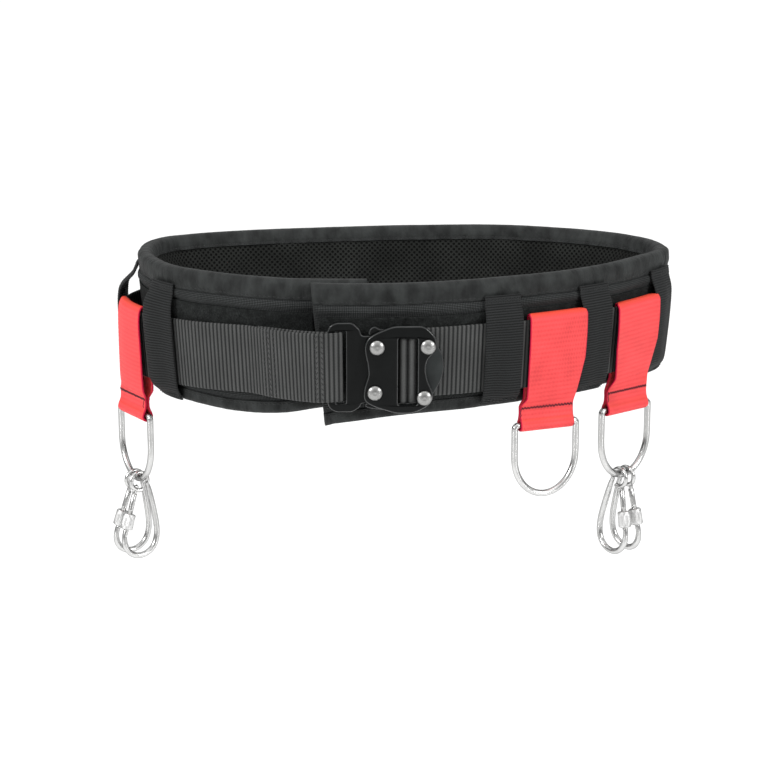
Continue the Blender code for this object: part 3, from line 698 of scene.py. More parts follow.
def tones(colour, dark, light):
    return [tuple(c * share for c in colour) for share in (dark, light)]


def thread_look(name, colour):
    look = Look(name, 0.6, sheen=0.05, specular=0.2)
    strand = look.noise(0.35, 2.0)
    look.colour(look.ramp(strand, *zip((0.3, 0.7), tones(colour, 0.6, 1.3))))
    look.bumps((strand, 0.5, 0.1))
    return look.material


def black_metal_look(name, colour, roughness, specular=0.14):
    """Satin black coating with fine specks and a few places of wear."""
    look = Look(name, roughness, specular=specular)
    large, speck = look.noise(9, 4.0), look.noise(0.5, 2.0)
    look.colour(look.ramp(large, *zip((0.3, 0.75), tones(colour, 0.8, 1.25))))
    look.rough(large, roughness - 0.07, roughness + 0.1)
    look.bumps((speck, 0.12, 0.05))
    return look.material


def steel_look(name, colour, low, high, grain):
    """Bright plated steel with faint drawing marks and a few dull spots."""
    look = Look(name, low, metallic=1.0)
    look.shader.inputs["Specular Tint"].default_value = (0.3, 0.3, 0.3, 1.0)
    large = look.noise(6, 4.0)
    fine = look.noise(grain, 2.0)
    look.colour(look.ramp(large, *zip((0.3, 0.7), tones(colour, 0.86, 1.0))))
    look.rough(large, low, high)
    look.bumps((large, 0.06, 0.06), (fine, 0.1, 0.02))
    return look.material


OXFORD = oxford_look()
AIR_MESH = mesh_look()
EDGE_TAPE = tape_look()
PILE = felt_look()
# Painted shade and highlight: each webbing's first colour is painted into the rib grooves as shade, and its
# second onto the crests as highlight.
GREY = webbing_look(
    "webbing_grey", STRAP_PITCH, (0.007, 0.0075, 0.0075), (0.052, 0.0533, 0.0525), 0.95, 0.55, 0.01
)
BLACK = webbing_look(
    "webbing_black", KEEPER_PITCH, (0.001, 0.0012, 0.0012), (0.0145, 0.0155, 0.0157), 1.1, 0.66, 0.01
)
RED = webbing_look(
    "webbing_red", RED_PITCH, (0.61, 0.051, 0.054), (0.665, 0.061, 0.063), 1.0, 0.6, 0.0, RED_TOP_LIGHT
)
THREAD_BLACK = thread_look("thread_black", (0.012, 0.013, 0.013))
THREAD_GREY = thread_look("thread_grey", (0.02, 0.021, 0.021))
THREAD_MAROON = thread_look("thread_maroon", (0.055, 0.003, 0.01))
BUCKLE_BLACK = black_metal_look("buckle_black", (0.0017, 0.0021, 0.0021), 0.32, 0.11)
BUCKLE_GREY = black_metal_look("buckle_grey", (0.018, 0.0205, 0.0205), 0.5)
# Painted highlight: the lighter, glossier colour that the plates' rounded front edges take.
BUCKLE_EDGE_HIGHLIGHT = black_metal_look("buckle_edge", (0.01, 0.011, 0.011), 0.28, 0.45)
STEEL = steel_look("bright_steel", (0.5, 0.5, 0.495), 0.2, 0.3, 0.5)
RIVET_STEEL = steel_look("satin_steel", (0.27, 0.27, 0.265), 0.3, 0.4, 0.3)
NUT_STEEL = steel_look("matte_steel", (0.62, 0.62, 0.615), 0.38, 0.48, 0.3)


# Soft pieces


def squeeze(s, length, out, centre=-5.0):
    """Rounds both ends of the pad by drawing its faces together there."""
    near = min(s, length - s)
    share = max(0.0, 1.0 - near / END_ROUND)
    return centre + (out - centre) * max(0.1, math.sqrt(max(0.0, 1.0 - share * share)))


def flap_shift(plan, s, height):
    """How far the flap's free end slants back at a height."""
    return FLAP_SLANT * clamp((s - plan.length + FLAP_END) / FLAP_END) * (1 - height / RIM_TOP)


def pad_rings(plan, section, start, end, step, rough):
    """Rings of a piece that follows the pad. rough(s, height, out) is how far its cloth stands out of it."""
    count = int((end - start) / step)
    stops = [start + (end - start) * i / count for i in range(count + 1)]
    if start < 0.1:
        stops = [0.0, 0.3, 1.0, 2.0] + stops[1:]
    if end > plan.length - 0.1:
        stops = stops[:-1] + [plan.length - d for d in (2.0, 1.0, 0.3, 0.0)]
    rings = []
    for s in stops:
        ring = []
        for height, out in section(plan.row(s)[2]):
            out = squeeze(s, plan.length, out) + rough(s, height, out)
            ring.append(plan.place(s - flap_shift(plan, s, height), height, out))
        rings.append(ring)
    return rings, stops


def pad_section(low):
    """The padded section, closed: outer face upward, over the rim, inner face downward. Columns: height, out.
    Its first and last rows give the height above the lower edge."""
    rise = ((2.2, -3.4), (3.6, -1.9), (7.6, -1.4), (9.4, -0.3), (14.0, 0.2))
    rows = (
        (-18.0, 0.0), (-4.0, 0.0), (10.0, 0.0), (19.0, 0.0), (23.6, 0.3), (26.0, 1.5),
        (28.3, 1.7), (30.4, 0.5), (31.6, -1.1), (36.0, -1.6), (41.2, -2.4), (42.4, -5.0), (41.2, -7.4),
        (36.4, -8.3), (34.0, -9.0), (32.0, -10.3), (28.0, -11.3), (20.0, -11.7), (8.0, -11.5),
        (-4.0, -11.5), (-16.0, -11.7),
    )
    fall = ((17.0, -11.4), (10.8, -10.6), (8.2, -9.2), (6.0, -8.3), (3.0, -7.0), (1.8, -5.2))
    rise, fall = [[(low + z, out) for z, out in part] for part in (rise, fall)]
    return spline([*rise, *rows, *fall], 3, True)


def pad_rough(s, height, out):
    """Soft unevenness of the padding, stronger on the roll under the top tape and on the inner face."""
    inner = out < -8.0
    roll = math.exp(-(((height - 27.0) / 4.0) ** 2)) if not inner else 0.0
    big = noise.noise(Vector((s / 26.0, height / 14.0, 3.0 if inner else 0.0)))
    small = noise.noise(Vector((s / 7.0, height / 5.0, 7.0)))
    wide = (0.25 + 0.85 * roll + (0.45 if inner else 0.0)) * big * (-1 if inner else 1)
    return wide + 0.18 * small * (0.4 + roll)


def tape_rough(s, height, out):
    """Small puckers of the sewn tape."""
    wide = noise.noise(Vector((s / 19.0, height / 8.0, 11.0)))
    tight = noise.noise(Vector((s / 4.2, height / 12.0, 17.0)))
    return (0.75 * wide + 0.4 * tight) * (-1 if out < -5.0 else 1)


def top_tape_section(low):
    """The folded tape over the top edge, closed. Columns: height, out."""
    rows = (
        (31.0, -0.3), (31.3, 0.35), (32.6, 0.3), (35.5, 0.65), (39.0, 0.5), (42.0, -0.2), (43.7, -2.2),
        (44.0, -4.8), (43.5, -7.6), (41.6, -9.3), (38.0, -10.0), (36.2, -9.7), (34.9, -10.0), (34.6, -9.5),
        (35.6, -9.0), (40.6, -8.5), (42.6, -6.8), (42.9, -4.8), (42.6, -3.0), (40.6, -1.5), (36.0, -1.0),
        (31.6, -0.8),
    )
    return spline(rows, 2, True)


def low_tape_section(low):
    """The same at the lower edge, whose rows give the height above it."""
    rows = (
        (8.4, -0.3), (8.1, 0.4), (6.9, 0.3), (4.4, 0.6), (2.2, 0.2), (0.4, -1.6), (0.0, -4.8), (0.4, -7.6),
        (2.0, -9.3), (5.4, -9.9), (7.4, -9.8), (7.7, -9.3), (6.6, -8.9), (2.8, -8.3), (1.3, -6.6),
        (1.1, -4.8), (1.3, -3.2), (2.8, -1.5), (7.0, -0.9),
    )
    return spline([(low + rise, out) for rise, out in rows], 2, True)


def band_section(low):
    """Section of the loop pile band, with points close together where it shows."""
    bottom = max(BAND_LOW, low + 9.6)
    heights = [bottom + (BAND_SEEN - bottom) * i / 6 for i in range(6)]
    heights += [BAND_SEEN + (BAND_HIGH - BAND_SEEN) * i / 8 for i in range(9)]
    face = [(z, 1.25) for z in heights]
    return face + [(BAND_HIGH, 0.35), (bottom, 0.35)]


def band_rough(s, height, out):
    if out < 1.0:
        return 0.0
    fine = noise.noise(Vector((s / 1.6, height / 1.4, 5.0)))
    return 0.35 * fine + 0.25 * noise.noise(Vector((s / 6.0, height / 4.0, 9.0)))


def seam_rows(plan, height_of, out, flip):
    """A row of stitches that follows the pad."""
    rows = []
    pitch, length, radius = TAPE_STITCH
    start, end = 2.0, plan.length - 3.0
    count = int((end - start) / pitch)
    for i in range(count):
        s = start + (end - start) * (i + 0.5) / count
        height = height_of(s)
        at = s - flap_shift(plan, s, height)
        _, direction, outward = plan.frame(at)
        lift = tape_rough(s, height, out)
        middle = plan.place(at, height, out + lift)
        rows.append((middle, direction, outward * flip, length, radius))
    return rows


def follow_pad(name, plan, section, start, end, step, rough, material, node, slot):
    """A closed piece that follows the pad, and the number of its rings."""
    rings, us = pad_rings(plan, section, start, end, step, rough)
    made = skin(name, rings, us, lengths(section(LOW_EDGE), True), material, "belt", (node,))
    return made, len(rings)


def make_pad(plan):
    """The padded band with its tapes, pile band and seams."""
    whole = (0.0, plan.length)
    looks = (OXFORD, AIR_MESH)
    pad, count = follow_pad(
        "pad_cloth", plan, pad_section, *whole, PAD_STEP, pad_rough, looks, "pad", "oxford_black"
    )
    inside = [out < -8.6 for _, out in pad_section(LOW_EDGE)]
    n = len(inside)
    for index, face in enumerate(pad.data.polygons):
        if index < (count - 1) * n and inside[index % n]:
            face.material_index = 1

    for name, section, node in (
        ("top_tape", top_tape_section, "top_binding"),
        ("low_tape", low_tape_section, "bottom_binding"),
    ):
        follow_pad(name, plan, section, *whole, TAPE_STEP, tape_rough, EDGE_TAPE, node, "tape_black")
    span = (3 * plan.length / 67 - 9.0, plan.length - END_ROUND)
    names = ("fuzzy_band", "felt_black")
    follow_pad("pile_band", plan, band_section, *span, BAND_STEP, band_rough, PILE, *names)

    rows = []
    for height_of, out, flip in (
        (lambda s: 32.7, 0.42, 1),
        (lambda s: 36.2, -9.9, -1),
        (lambda s: plan.row(s)[2] + 6.9, 0.42, 1),
        (lambda s: plan.row(s)[2] + 6.4, -9.9, -1),
    ):
        rows += seam_rows(plan, height_of, out, flip)
    stitches("tape_seams", rows, THREAD_BLACK, "belt")


def strap_middle(x, front):
    """Height of the strap's middle line, which sits lower on the left."""
    return -5.5 + 0.05 * max(-120.0, min(0.0, x + 30.0)) * (1.0 if front else 0.8)


def strap_out(s, red_at, length):
    """How far the strap's middle stands out of its plan at s: further over the back of a red loop."""
    near = min(min(abs(s - at), length - abs(s - at)) for at in red_at)
    return STRAP_OUT + (STRAP_OUT_AT_RED - STRAP_OUT) * soft_step((43.0 - near) / 12.0)


def strap_line(plan, red_at):
    """The strap's centre line: rows of x, y, and the outward direction there."""
    start = plan.nearest(-2.0, -115.5)
    end = plan.nearest(-88.0, -92.0)
    if end < start:
        end += plan.length
    rows = []
    for i in range(STRAP_STATIONS):
        s = start + (end - start) * i / (STRAP_STATIONS - 1)
        point, _, outward = plan.frame(s)
        centre = point + outward * strap_out(s % plan.length, red_at, plan.length)
        rows.append((centre.x, centre.y, outward.x, outward.y))
    for x, out in STRAP_TURN:
        s = plan.nearest(x, -112.0 + max(0.0, -46.0 - x) * 0.6)
        point, _, outward = plan.frame(s)
        centre = point + outward * out
        rows.append((centre.x, centre.y, outward.x, outward.y))
    return spline(rows, 8)


def rib_shape(at, pitch):
    """A rib's profile from 0 in the groove to 1 on its crest."""
    return abs(math.cos(math.pi * at / pitch)) ** 0.7


def make_strap(plan, red_at):
    """The grey strap with a rib at each pitch, thinner selvedges, and the seams that hold its turned end."""
    line = strap_line(plan, red_at)
    total = lengths([row[:2] for row in line])[-1]
    ribs = int(total / STRAP_PITCH)
    count = ribs * 8
    line, at = even(line, count + 1, False, 2)
    stops = list(zip(at, line))
    half = STRAP_WIDTH / 2
    across = [-half, -half + 0.45, -half + 1.2, -half + 2.6, -8.0]
    across += [-reach for reach in reversed(across)]
    thin = [0.35, 0.78, 0.92, 1.0, 1.0]
    thin += reversed(thin)
    outer = [[] for _ in across]
    inner = [[] for _ in across]
    places = []
    for i, (s, row) in enumerate(stops):
        a = stops[max(i - 4, 0)][1]
        b = stops[min(i + 4, count)][1]
        direction = Vector((b[0] - a[0], b[1] - a[1], 0)).normalized()
        side = Vector((direction.y, -direction.x, 0))
        outward = Vector((row[2], row[3], 0)).normalized()
        middle = strap_middle(row[0], row[1] < 40)
        rib = rib_shape(s, total / ribs)
        places.append(s / total * ribs * STRAP_PITCH)
        wave = 0.25 * noise.noise(Vector((s / 45.0, 0.0, 21.0)))
        for k, (reach, size) in enumerate(zip(across, thin)):
            grow = 0.22 * (rib - 0.5) * (1 if abs(reach) > half - 0.5 else 0)
            z = middle + reach + math.copysign(grow, reach) + wave
            centre = Vector((row[0], row[1], z)) - outward * LEAN * (RIM_TOP - z)
            thick = STRAP_THICKNESS / 2 * size * (0.62 + 0.38 * rib)
            outer[k].append(centre + side * thick)
            inner[k].append(centre - side * thick)
    strap = ribbon("strap_webbing", outer, inner, across, places, False, GREY, "belt", ("waist_strap",))

    rows = []
    steps, *stitch = STRAP_STITCH
    for x, slant in STRAP_SEAMS:
        k = min(
            (i for i, (_, row) in enumerate(stops) if row[1] < 0 and i > count * 0.7),
            key=lambda i: abs(stops[i][1][0] - x) + (100 if stops[i][0] > total - 55 else 0),
        )
        bottom, top = outer[1][k], outer[-2][k]
        direction = (outer[4][min(k + 4, count)] - outer[4][k - 4]).normalized()
        normal = (outer[4][k] - inner[4][k]).normalized()
        for i in range(steps):
            middle = bottom.lerp(top, (i + 0.5) / steps) + normal * 0.25
            lean = ((top - bottom).normalized() + direction * 0.75 * slant).normalized()
            rows.append((middle, lean, normal, *stitch))
    stitches("strap_seams", rows, THREAD_GREY, "belt")


def webbing_line(rows, pitch, thickness, closed, ribs=None, depth=0.26, steps=6):
    """Both sides of a webbing's line (height, out) with ribs, and the places along it."""
    total = lengths(rows, closed)[-1]
    ribs = ribs or round(total / pitch)
    line, at = even(rows, ribs * steps + (0 if closed else 1), closed)
    count = len(line)
    sides = ([], [])
    for i in range(count):
        a = line[(i - 2) % count] if closed else line[max(i - 2, 0)]
        b = line[(i + 2) % count] if closed else line[min(i + 2, count - 1)]
        dz, dw = b[0] - a[0], b[1] - a[1]
        size = math.hypot(dz, dw)
        rib = rib_shape(at[i], total / ribs)
        half = thickness / 2 * (1 - depth + depth * rib)
        for side, sign in zip(sides, (1, -1)):
            side.append((line[i][0], line[i][1], sign * dw / size * half, -sign * dz / size * half))
    places = [s / total * ribs * pitch for s in at]
    return sides, places


def edge_columns(width, inner_count):
    """Places across a webbing and how thick it is there, thinner at the selvedges."""
    half = width / 2
    across = [-half, -half + 0.35, -half + 1.0]
    across += [(-half + 2.0) + (width - 4.0) * i / (inner_count - 1) for i in range(inner_count)]
    across += [half - 1.0, half - 0.35, half]
    thin = [0.3, 0.75, 0.94] + [1.0] * inner_count + [0.94, 0.75, 0.3]
    return across, thin


def make_keeper(number, x, y, stretch, pad, taut, red_at):
    """A black keeper loop, with bar tacks across both sewn ends."""
    middle = pad.nearest(x, y)
    across, thin = edge_columns(KEEPER_WIDTH, 6)
    outer, inner, ribs = [], [], None
    for reach, size in zip(across, thin):
        s = middle + reach
        point, _, outward = pad.frame(s)
        away = 0.0
        for _ in range(4):
            target = point + outward * away
            at = taut.nearest(target.x, target.y)
            away = (taut.frame(at)[0] - point).dot(outward)
        low = KEEPER_REST
        high = away + strap_out(at, red_at, taut.length) + KEEPER_OVER
        rows = [(z * stretch if z < 0 else z, low + (high - low) * share) for z, share in KEEPER_SECTION]
        sides, places = webbing_line(spline(rows, 6), KEEPER_PITCH, WEBBING, False, ribs, depth=0.34)
        ribs = round(places[-1] / KEEPER_PITCH)
        lines = [[pad.place(s, z + dz * size, w + dw * size) for z, w, dz, dw in side] for side in sides]
        outer.append(lines[0])
        inner.append(lines[1])
    if (outer[4][len(places) // 2] - inner[4][len(places) // 2]).dot(outward) < 0:
        outer, inner = inner, outer
    name = f"keeper_webbing_{number}"
    loop = ribbon(name, outer, inner, across, places, False, BLACK, "belt", (f"keeper_loop_{number}",))
    rows = []
    steps, *stitch = KEEPER_STITCH
    count = len(places)
    for place in KEEPER_TACKS:
        k = place % count
        left, right = outer[1][k], outer[-2][k]
        normal = (outer[4][k] - inner[4][k]).normalized()
        tall = (outer[4][min(k + 2, count - 1)] - outer[4][k - 2]).normalized()
        for i in range(steps):
            spot = left.lerp(right, (i + 0.5) / steps)
            bow = outer[2 + min(8, int((i + 0.5) / steps * 9))][k]
            spot = spot + normal * max(0.0, (bow - spot).dot(normal)) + normal * 0.2
            lean = (right - left).normalized() + tall * (1.1 if i % 2 else -1.1)
            rows.append((spot, lean, normal, *stitch))
    stitches(f"keeper_tacks_{number}", rows, THREAD_BLACK, "belt")


def red_section(top, bar):
    """Centre line of a red loop's section, closed. Columns: height, and distance from the strap's middle."""
    seam = bar + RED_SEAM
    lobe = RING_WIRE + 0.4 + WEBBING / 2
    front = [
        (top - 0.8, 1.6), (top - 4.0, 3.0), (2.0, 3.7), (-14.0, 3.4),
        (seam + 9.0, 2.5),
        (seam, 1.0),
        (bar + 5.6, 1.2),
    ]
    angles = [math.radians(degrees) for degrees in (55, 100, 145, 180)]
    turn = [(bar + lobe * math.cos(a), lobe * math.sin(a)) for a in angles]
    back = [(bar + 5.6, -1.2), (seam, -1.0), (seam + 11.0, -2.2)]
    back += [(-14.0, -2.35), (top - 4.0, -2.35), (top - 0.8, -1.5)]
    turn_back = [(z, -w) for z, w in turn[-2::-1]]
    return front + turn + turn_back + back + [(top, 0.2)]


def hanging_frame(s, bar, turn, stand, aside, plan):
    """The frame of a ring's bar: x along the bar, y outward, z up."""
    _, direction, _ = plan.frame(s)
    direction = Matrix.Rotation(math.radians(turn), 3, "Z") @ direction
    centre = plan.place(s, bar, STRAP_OUT_AT_RED + stand) + direction * aside
    outward = Vector((direction.y, -direction.x, 0))
    return axes_at(centre, direction, outward, (0, 0, 1))


def make_red_loop(letter, s, top, bar, aside, hanging, plan):
    """A red loop round the strap, sewn across above the ring's tunnel."""
    seam = bar + RED_SEAM
    across, thin = edge_columns(RED_WIDTH, 8)
    line = spline(red_section(top, bar), 5, True)
    (left, right), places = webbing_line(line, RED_PITCH, WEBBING, True, depth=0.1, steps=8)

    spread = RED_SPREAD[letter]
    bend = max(6.0, 2.3 * abs(aside))

    def point(reach, z, out):
        edge = 2 * reach / RED_WIDTH
        wider = edge * spread[0 if edge < 0 else 1]
        wider = wider * clamp((z - seam - 6.0) / 24.0) * clamp((out + 1.2) / 2.4)
        lift = 0.4 * abs(wider) * edge * edge if max(spread) > 3 else 0.0
        if out > 0.3:
            lift += RED_BELLY[letter] * (1 - 0.3 * edge) * clamp((12.0 - z) / (6.0 - seam))
        bent = plan.place(s + reach + wider, z, out + STRAP_OUT_AT_RED + lift)
        flat = hanging @ Vector((reach, out, z - bar))
        return bent.lerp(flat, soft_step((seam + bend - z) / bend))

    faces = []
    for side in (left, right):
        lines = []
        for reach, size in zip(across, thin):
            wave = 0.15 * noise.noise(Vector((reach / 9.0, ord(letter), 2.0)))
            lines.append([point(reach, z + dz * size, w + dw * size + wave) for z, w, dz, dw in side])
        faces.append(lines)
    outer, inner = faces
    name = f"red_webbing_{letter}"
    loop = ribbon(name, outer, inner, across, places, True, RED, "belt", (f"red_loop_{letter}",))

    rows = []
    pitch, *stitch = RED_STITCH
    count = int(RED_WIDTH / pitch)
    for i in range(count):
        reach = -RED_WIDTH / 2 + 0.8 + (RED_WIDTH - 1.6) * (i + 0.5) / count
        for out, sign in ((1.95, 1), (-1.95, -1)):
            height = seam + 0.25 * noise.noise(Vector((reach / 3.0, 4.0, ord(letter))))
            middle = point(reach, height, out)
            direction = point(reach + 0.55, height + (0.9 if i % 2 else -0.9), out) - middle
            rows.append((middle, direction, (point(reach, seam, out + 1) - middle) * sign, *stitch))
    stitches(f"red_seam_{letter}", rows, THREAD_MAROON, "belt")
    corner = point((RED_WIDTH / 2 - 1.0) * RED_TAIL[letter], seam, 1.9)
    along = (point(0, seam, 1.9) - corner).normalized()
    outward = along.cross(Vector((0, 0, 1))).normalized()
    if outward.dot(corner) < 0:
        outward = -outward
    curl = [(0, 0, 0), (-1.2, 0.9, -0.8), (-1.9, 1.6, -2.4), (-1.4, 1.7, -4.0), (-2.2, 1.5, -5.2)]
    path = []
    for a, b, c in spline(curl, 4):
        path.append((corner + along * a + outward * b + Vector((0, 0, c)), 0.26))
    tube(f"thread_tail_{letter}", path, 6, False, outward, THREAD_MAROON, "belt")


# Hard pieces


def inset(outline, amount):
    """The outline moved inward by amount, for an outline in either direction."""
    count = len(outline)
    area = sum(outline[i - 1][0] * outline[i][1] - outline[i][0] * outline[i - 1][1] for i in range(count))
    turn = 1.0 if area > 0 else -1.0
    out = []
    for i, (x, y) in enumerate(outline):
        normals = []
        for a, b in ((outline[i - 1], outline[i]), (outline[i], outline[(i + 1) % count])):
            dx, dy = b[0] - a[0], b[1] - a[1]
            size = max(math.hypot(dx, dy), 1e-9)
            normals.append((-dy / size * turn, dx / size * turn))
        nx, ny = normals[0][0] + normals[1][0], normals[0][1] + normals[1][1]
        scale = amount * 2 / max(nx * nx + ny * ny, 0.5)
        out.append((x + nx * scale, y + ny * scale))
    return out


def rounded(outline, radius):
    """The outline with each corner cut to a small arc."""
    count = len(outline)
    out = []
    for i, corner in enumerate(outline):
        before, after = Vector(outline[i - 1]), Vector(outline[(i + 1) % count])
        corner = Vector(corner)
        a = min(radius, (before - corner).length * 0.45)
        b = min(radius, (after - corner).length * 0.45)
        start = corner + (before - corner).normalized() * a
        end = corner + (after - corner).normalized() * b
        for k in range(5):
            t = k / 4
            spot = start * (1 - t) ** 2 + corner * 2 * t * (1 - t) + end * t * t
            out.append((spot.x, spot.y))
    return out


def plate(name, outline, holes, faces_at, frame_at, bevel, material, node):
    """A plate with rounded front edges, painted brighter there as highlight. The frame turns (x, height, out)
    into the model.
    """
    back, front = faces_at
    loops = [(outline, 1.0)] + [(hole, -1.0) for hole in holes]
    levels = [(back, 0.25), (back + 0.25, 0.0)]
    for k in range(5):
        turn = math.pi / 2 * k / 4
        levels.append((front - bevel + bevel * math.sin(turn), bevel * (1 - math.cos(turn))))
    points, faces, caps, bevel_highlight_faces = [], [], [], []
    for loop, sign in loops:
        n = len(loop)
        base = len(points)
        bevel_highlight_faces += range(len(faces) + 2 * n, len(faces) + (len(levels) - 1) * n)
        for out, amount in levels:
            points += [frame_at @ Vector((x, z, out)) for x, z in inset(loop, amount * sign)]
        faces += walls(base, n, len(levels))
        caps.append((base, n, loop))
    for level in (0, len(levels) - 1):
        flat = [[Vector((x, z, 0)) for x, z in loop] for _, _, loop in caps]
        index = [base + level * n + k for base, n, _ in caps for k in range(n)]
        faces += [tuple(index[v] for v in tri) for tri in tessellate_polygon(flat)]
    made = finish_mesh(name, points, faces, None, (material, BUCKLE_EDGE_HIGHLIGHT), "belt", (node,), 35)
    # Painted highlight: the rounded front edges take the lighter edge material.
    for index in bevel_highlight_faces:
        made.data.polygons[index].material_index = 1


def buckle_frame(plan):
    """Turns (x, height, out) by the buckle into the model: upright plates that lean as the pad does."""
    s = plan.nearest(-11.0, -115.0)
    point, direction, _ = plan.frame(s, 14.0)
    if direction.x < 0:
        direction = -direction
    up = Vector((0, -LEAN, 1.0))
    up = (up - direction * up.dot(direction)).normalized()
    out = direction.cross(up).normalized()
    top = point - direction * (point.x / direction.x) + Vector((0, 0, RIM_TOP))
    return axes_at(top - up * RIM_TOP, direction, up, out)


def make_buckle(plan):
    """The fastened buckle, its rivets, and the webbing that shows in its slot as two rolls."""
    at = buckle_frame(plan)
    slot_hole = (rounded(FRONT_SLOT, 0.9),)
    tongue_hole = (rounded(TONGUE_SLOT, 1.2),)
    for name, outline, corner, holes, faces_at, bevel, material, node in (
        ("back_plate", BACK_OUTLINE, 3.0, slot_hole, BACK_PLATE, 0.5, BUCKLE_GREY, "buckle_back"),
        ("tongue_plate", TONGUE_OUTLINE, 1.6, tongue_hole, TONGUE_PLATE, 0.6, BUCKLE_BLACK, "buckle_tongue"),
        ("lever_top", LEVER_TOP, 1.0, (), TONGUE_PLATE, 0.6, BUCKLE_BLACK, "buckle_lever_top"),
        ("lever_low", LEVER_LOW, 1.0, (), TONGUE_PLATE, 0.6, BUCKLE_BLACK, "buckle_lever_low"),
        ("front_plate", FRONT_OUTLINE, 2.6, slot_hole, FRONT_PLATE, 0.75, BUCKLE_BLACK, "buckle_front"),
    ):
        plate(name, rounded(outline, corner), holes, faces_at, at, bevel, material, node)

    outward = at.to_3x3() @ Vector((0, 0, 1))
    for number, (x, z) in enumerate(RIVETS, 1):
        base = at @ Vector((x, z, FRONT_PLATE[1] + 0.25))
        nodes = (f"rivet_{number}",)
        head = turned(
            f"rivet_head_{number}", RIVET_PROFILE, 40, base, outward, RIVET_STEEL, "belt", nodes, None, 75
        )

    outer, inner = [], []
    across = [-28.9, -28.4, -27.4] + [-26.0 + 38.0 * i / 6 for i in range(7)] + [12.6, 13.4]
    thin = [0.4, 0.8, 0.95] + [1.0] * 7 + [0.85, 0.4]
    count = 48
    for z, size in zip(across, thin):
        top, low = [], []
        for i in range(count + 1):
            t = i / count
            x = SLOT_WEBBING_LEFT + SLOT_WEBBING_WIDTH * t
            bow = math.sin(math.pi * t) ** 0.5
            rib = abs(math.sin(2 * math.pi * t)) ** 0.75
            out = SLOT_WEBBING_OUT + (0.9 * bow + 1.7 * rib) * (0.6 + 0.4 * size)
            top.append(at @ Vector((x, z, out)))
            low.append(at @ Vector((x, z, 8.4 - 0.3 * size)))
        outer.append(top)
        inner.append(low)
    places = [STRAP_PITCH * 2 * (i / count) + STRAP_PITCH / 2 for i in range(count + 1)]
    ribbon("slot_webbing", outer, inner, across, places, False, GREY, "belt")


def ring_rows():
    """The D-ring's centre line in its own frame: the straight bar on top, two legs and a round bottom."""
    half, corner = RING_HALF_WIDTH, 2.4
    rows = [(-half * 0.5, 0.0), (half * 0.5, 0.0), (half - corner, 0.0)]
    rows += [(half - corner * 0.3, -corner * 0.3), (half, -corner), (half, -RING_STRAIGHT * 0.5)]
    depth = RING_DROP - RING_STRAIGHT
    for i in range(13):
        turn = math.pi * i / 12
        rows.append((half * math.cos(turn), -RING_STRAIGHT - depth * math.sin(turn)))
    rows += [(-half, -RING_STRAIGHT * 0.5), (-half, -corner)]
    rows += [(-half + corner * 0.3, -corner * 0.3), (-half + corner, 0.0)]
    return rows


def make_hook(name, frame_at):
    """A snap hook: its bent wire, its gate with a thread and a pin, and its knurled nut."""
    part = name[-2:]
    eye = frame_at @ Matrix.Translation((0, 0, -EYE_DROP))
    across = frame_at.to_3x3() @ Vector((1, 0, 0))
    rows = []
    start, end = HOOK_EYE_TURN
    for i in range(15):
        turn = math.radians(start + (end - start) * i / 14)
        rows.append((HOOK_EYE_RADIUS * math.sin(turn), HOOK_EYE_RADIUS * math.cos(turn), HOOK_EYE_WIRE))
    rows += HOOK_BODY
    tip = GATE_END + 0.4
    rows.append((PIVOT[0] + tip * math.sin(GATE_ANGLE), PIVOT[1] + tip * math.cos(GATE_ANGLE), 1.75))
    path = smooth_path([(0.0, p, -q, radius) for p, q, radius in rows], 5, False)
    point, radius = path[0]
    path[0] = (point, radius * 0.75)
    path = [(eye @ p, radius) for p, radius in path]
    body = tube(f"{name}_wire", path, 20, False, across, STEEL, f"hook_{part}", (f"{name}_body",))

    pivot = Vector((0.0, PIVOT[0], -PIVOT[1]))
    direction = Vector((0.0, math.sin(GATE_ANGLE), -math.cos(GATE_ANGLE)))
    turned_direction = eye.to_3x3() @ direction
    profile = [(GATE_START, 0.9), (GATE_START + 0.25, 1.4), (GATE_START + 0.7, GATE_RADIUS)]
    profile += [(5.0, GATE_RADIUS), (9.6, GATE_RADIUS)]
    profile += [(10.0 + 0.35 * k, GATE_RADIUS - (0.16 if k % 2 else 0.0)) for k in range(9)]
    profile += [(GATE_END - 0.8, GATE_RADIUS), (GATE_END - 0.3, 1.6), (GATE_END, 1.2)]
    at = (eye @ pivot, turned_direction)
    gate = turned(f"{name}_latch", profile, 24, *at, STEEL, f"gate_{part}", (f"{name}_gate",))
    lug = [(eye @ p, radius) for p, radius in smooth_path(HOOK_LUG, 4, False)]
    tube(f"{name}_lug", lug, 16, False, across, STEEL, f"hook_{part}")
    pin_start = eye @ (pivot - Vector((2.25, 0, 0)))
    pin = ((0.0, 0.35), (0.2, 0.7), (4.3, 0.7), (4.5, 0.35))
    turned(f"{name}_pin", pin, 16, pin_start, across, STEEL, f"hook_{part}")

    low, high = GATE_END - NUT_LENGTH, GATE_END
    r = NUT_RADIUS

    def knurl(k, at):
        if not low + 0.5 < at < high - 0.5:
            return 1.0
        return 1.0 if k % 2 else 0.965

    profile = [(low, NUT_BORE), (low + 0.02, r - 0.75), (low + 0.45, r - 0.15), (low + 0.8, r)]
    profile += [(low + 0.8 + (NUT_LENGTH - 1.6) * k / 4, r) for k in range(1, 4)]
    profile += [(high - 0.8, r), (high - 0.45, r - 0.15), (high - 0.02, r - 0.75), (high, NUT_BORE)]
    nut = turned(f"{name}_sleeve", profile, 60, *at, NUT_STEEL, f"nut_{part}", (f"{name}_nut",), knurl, 30)


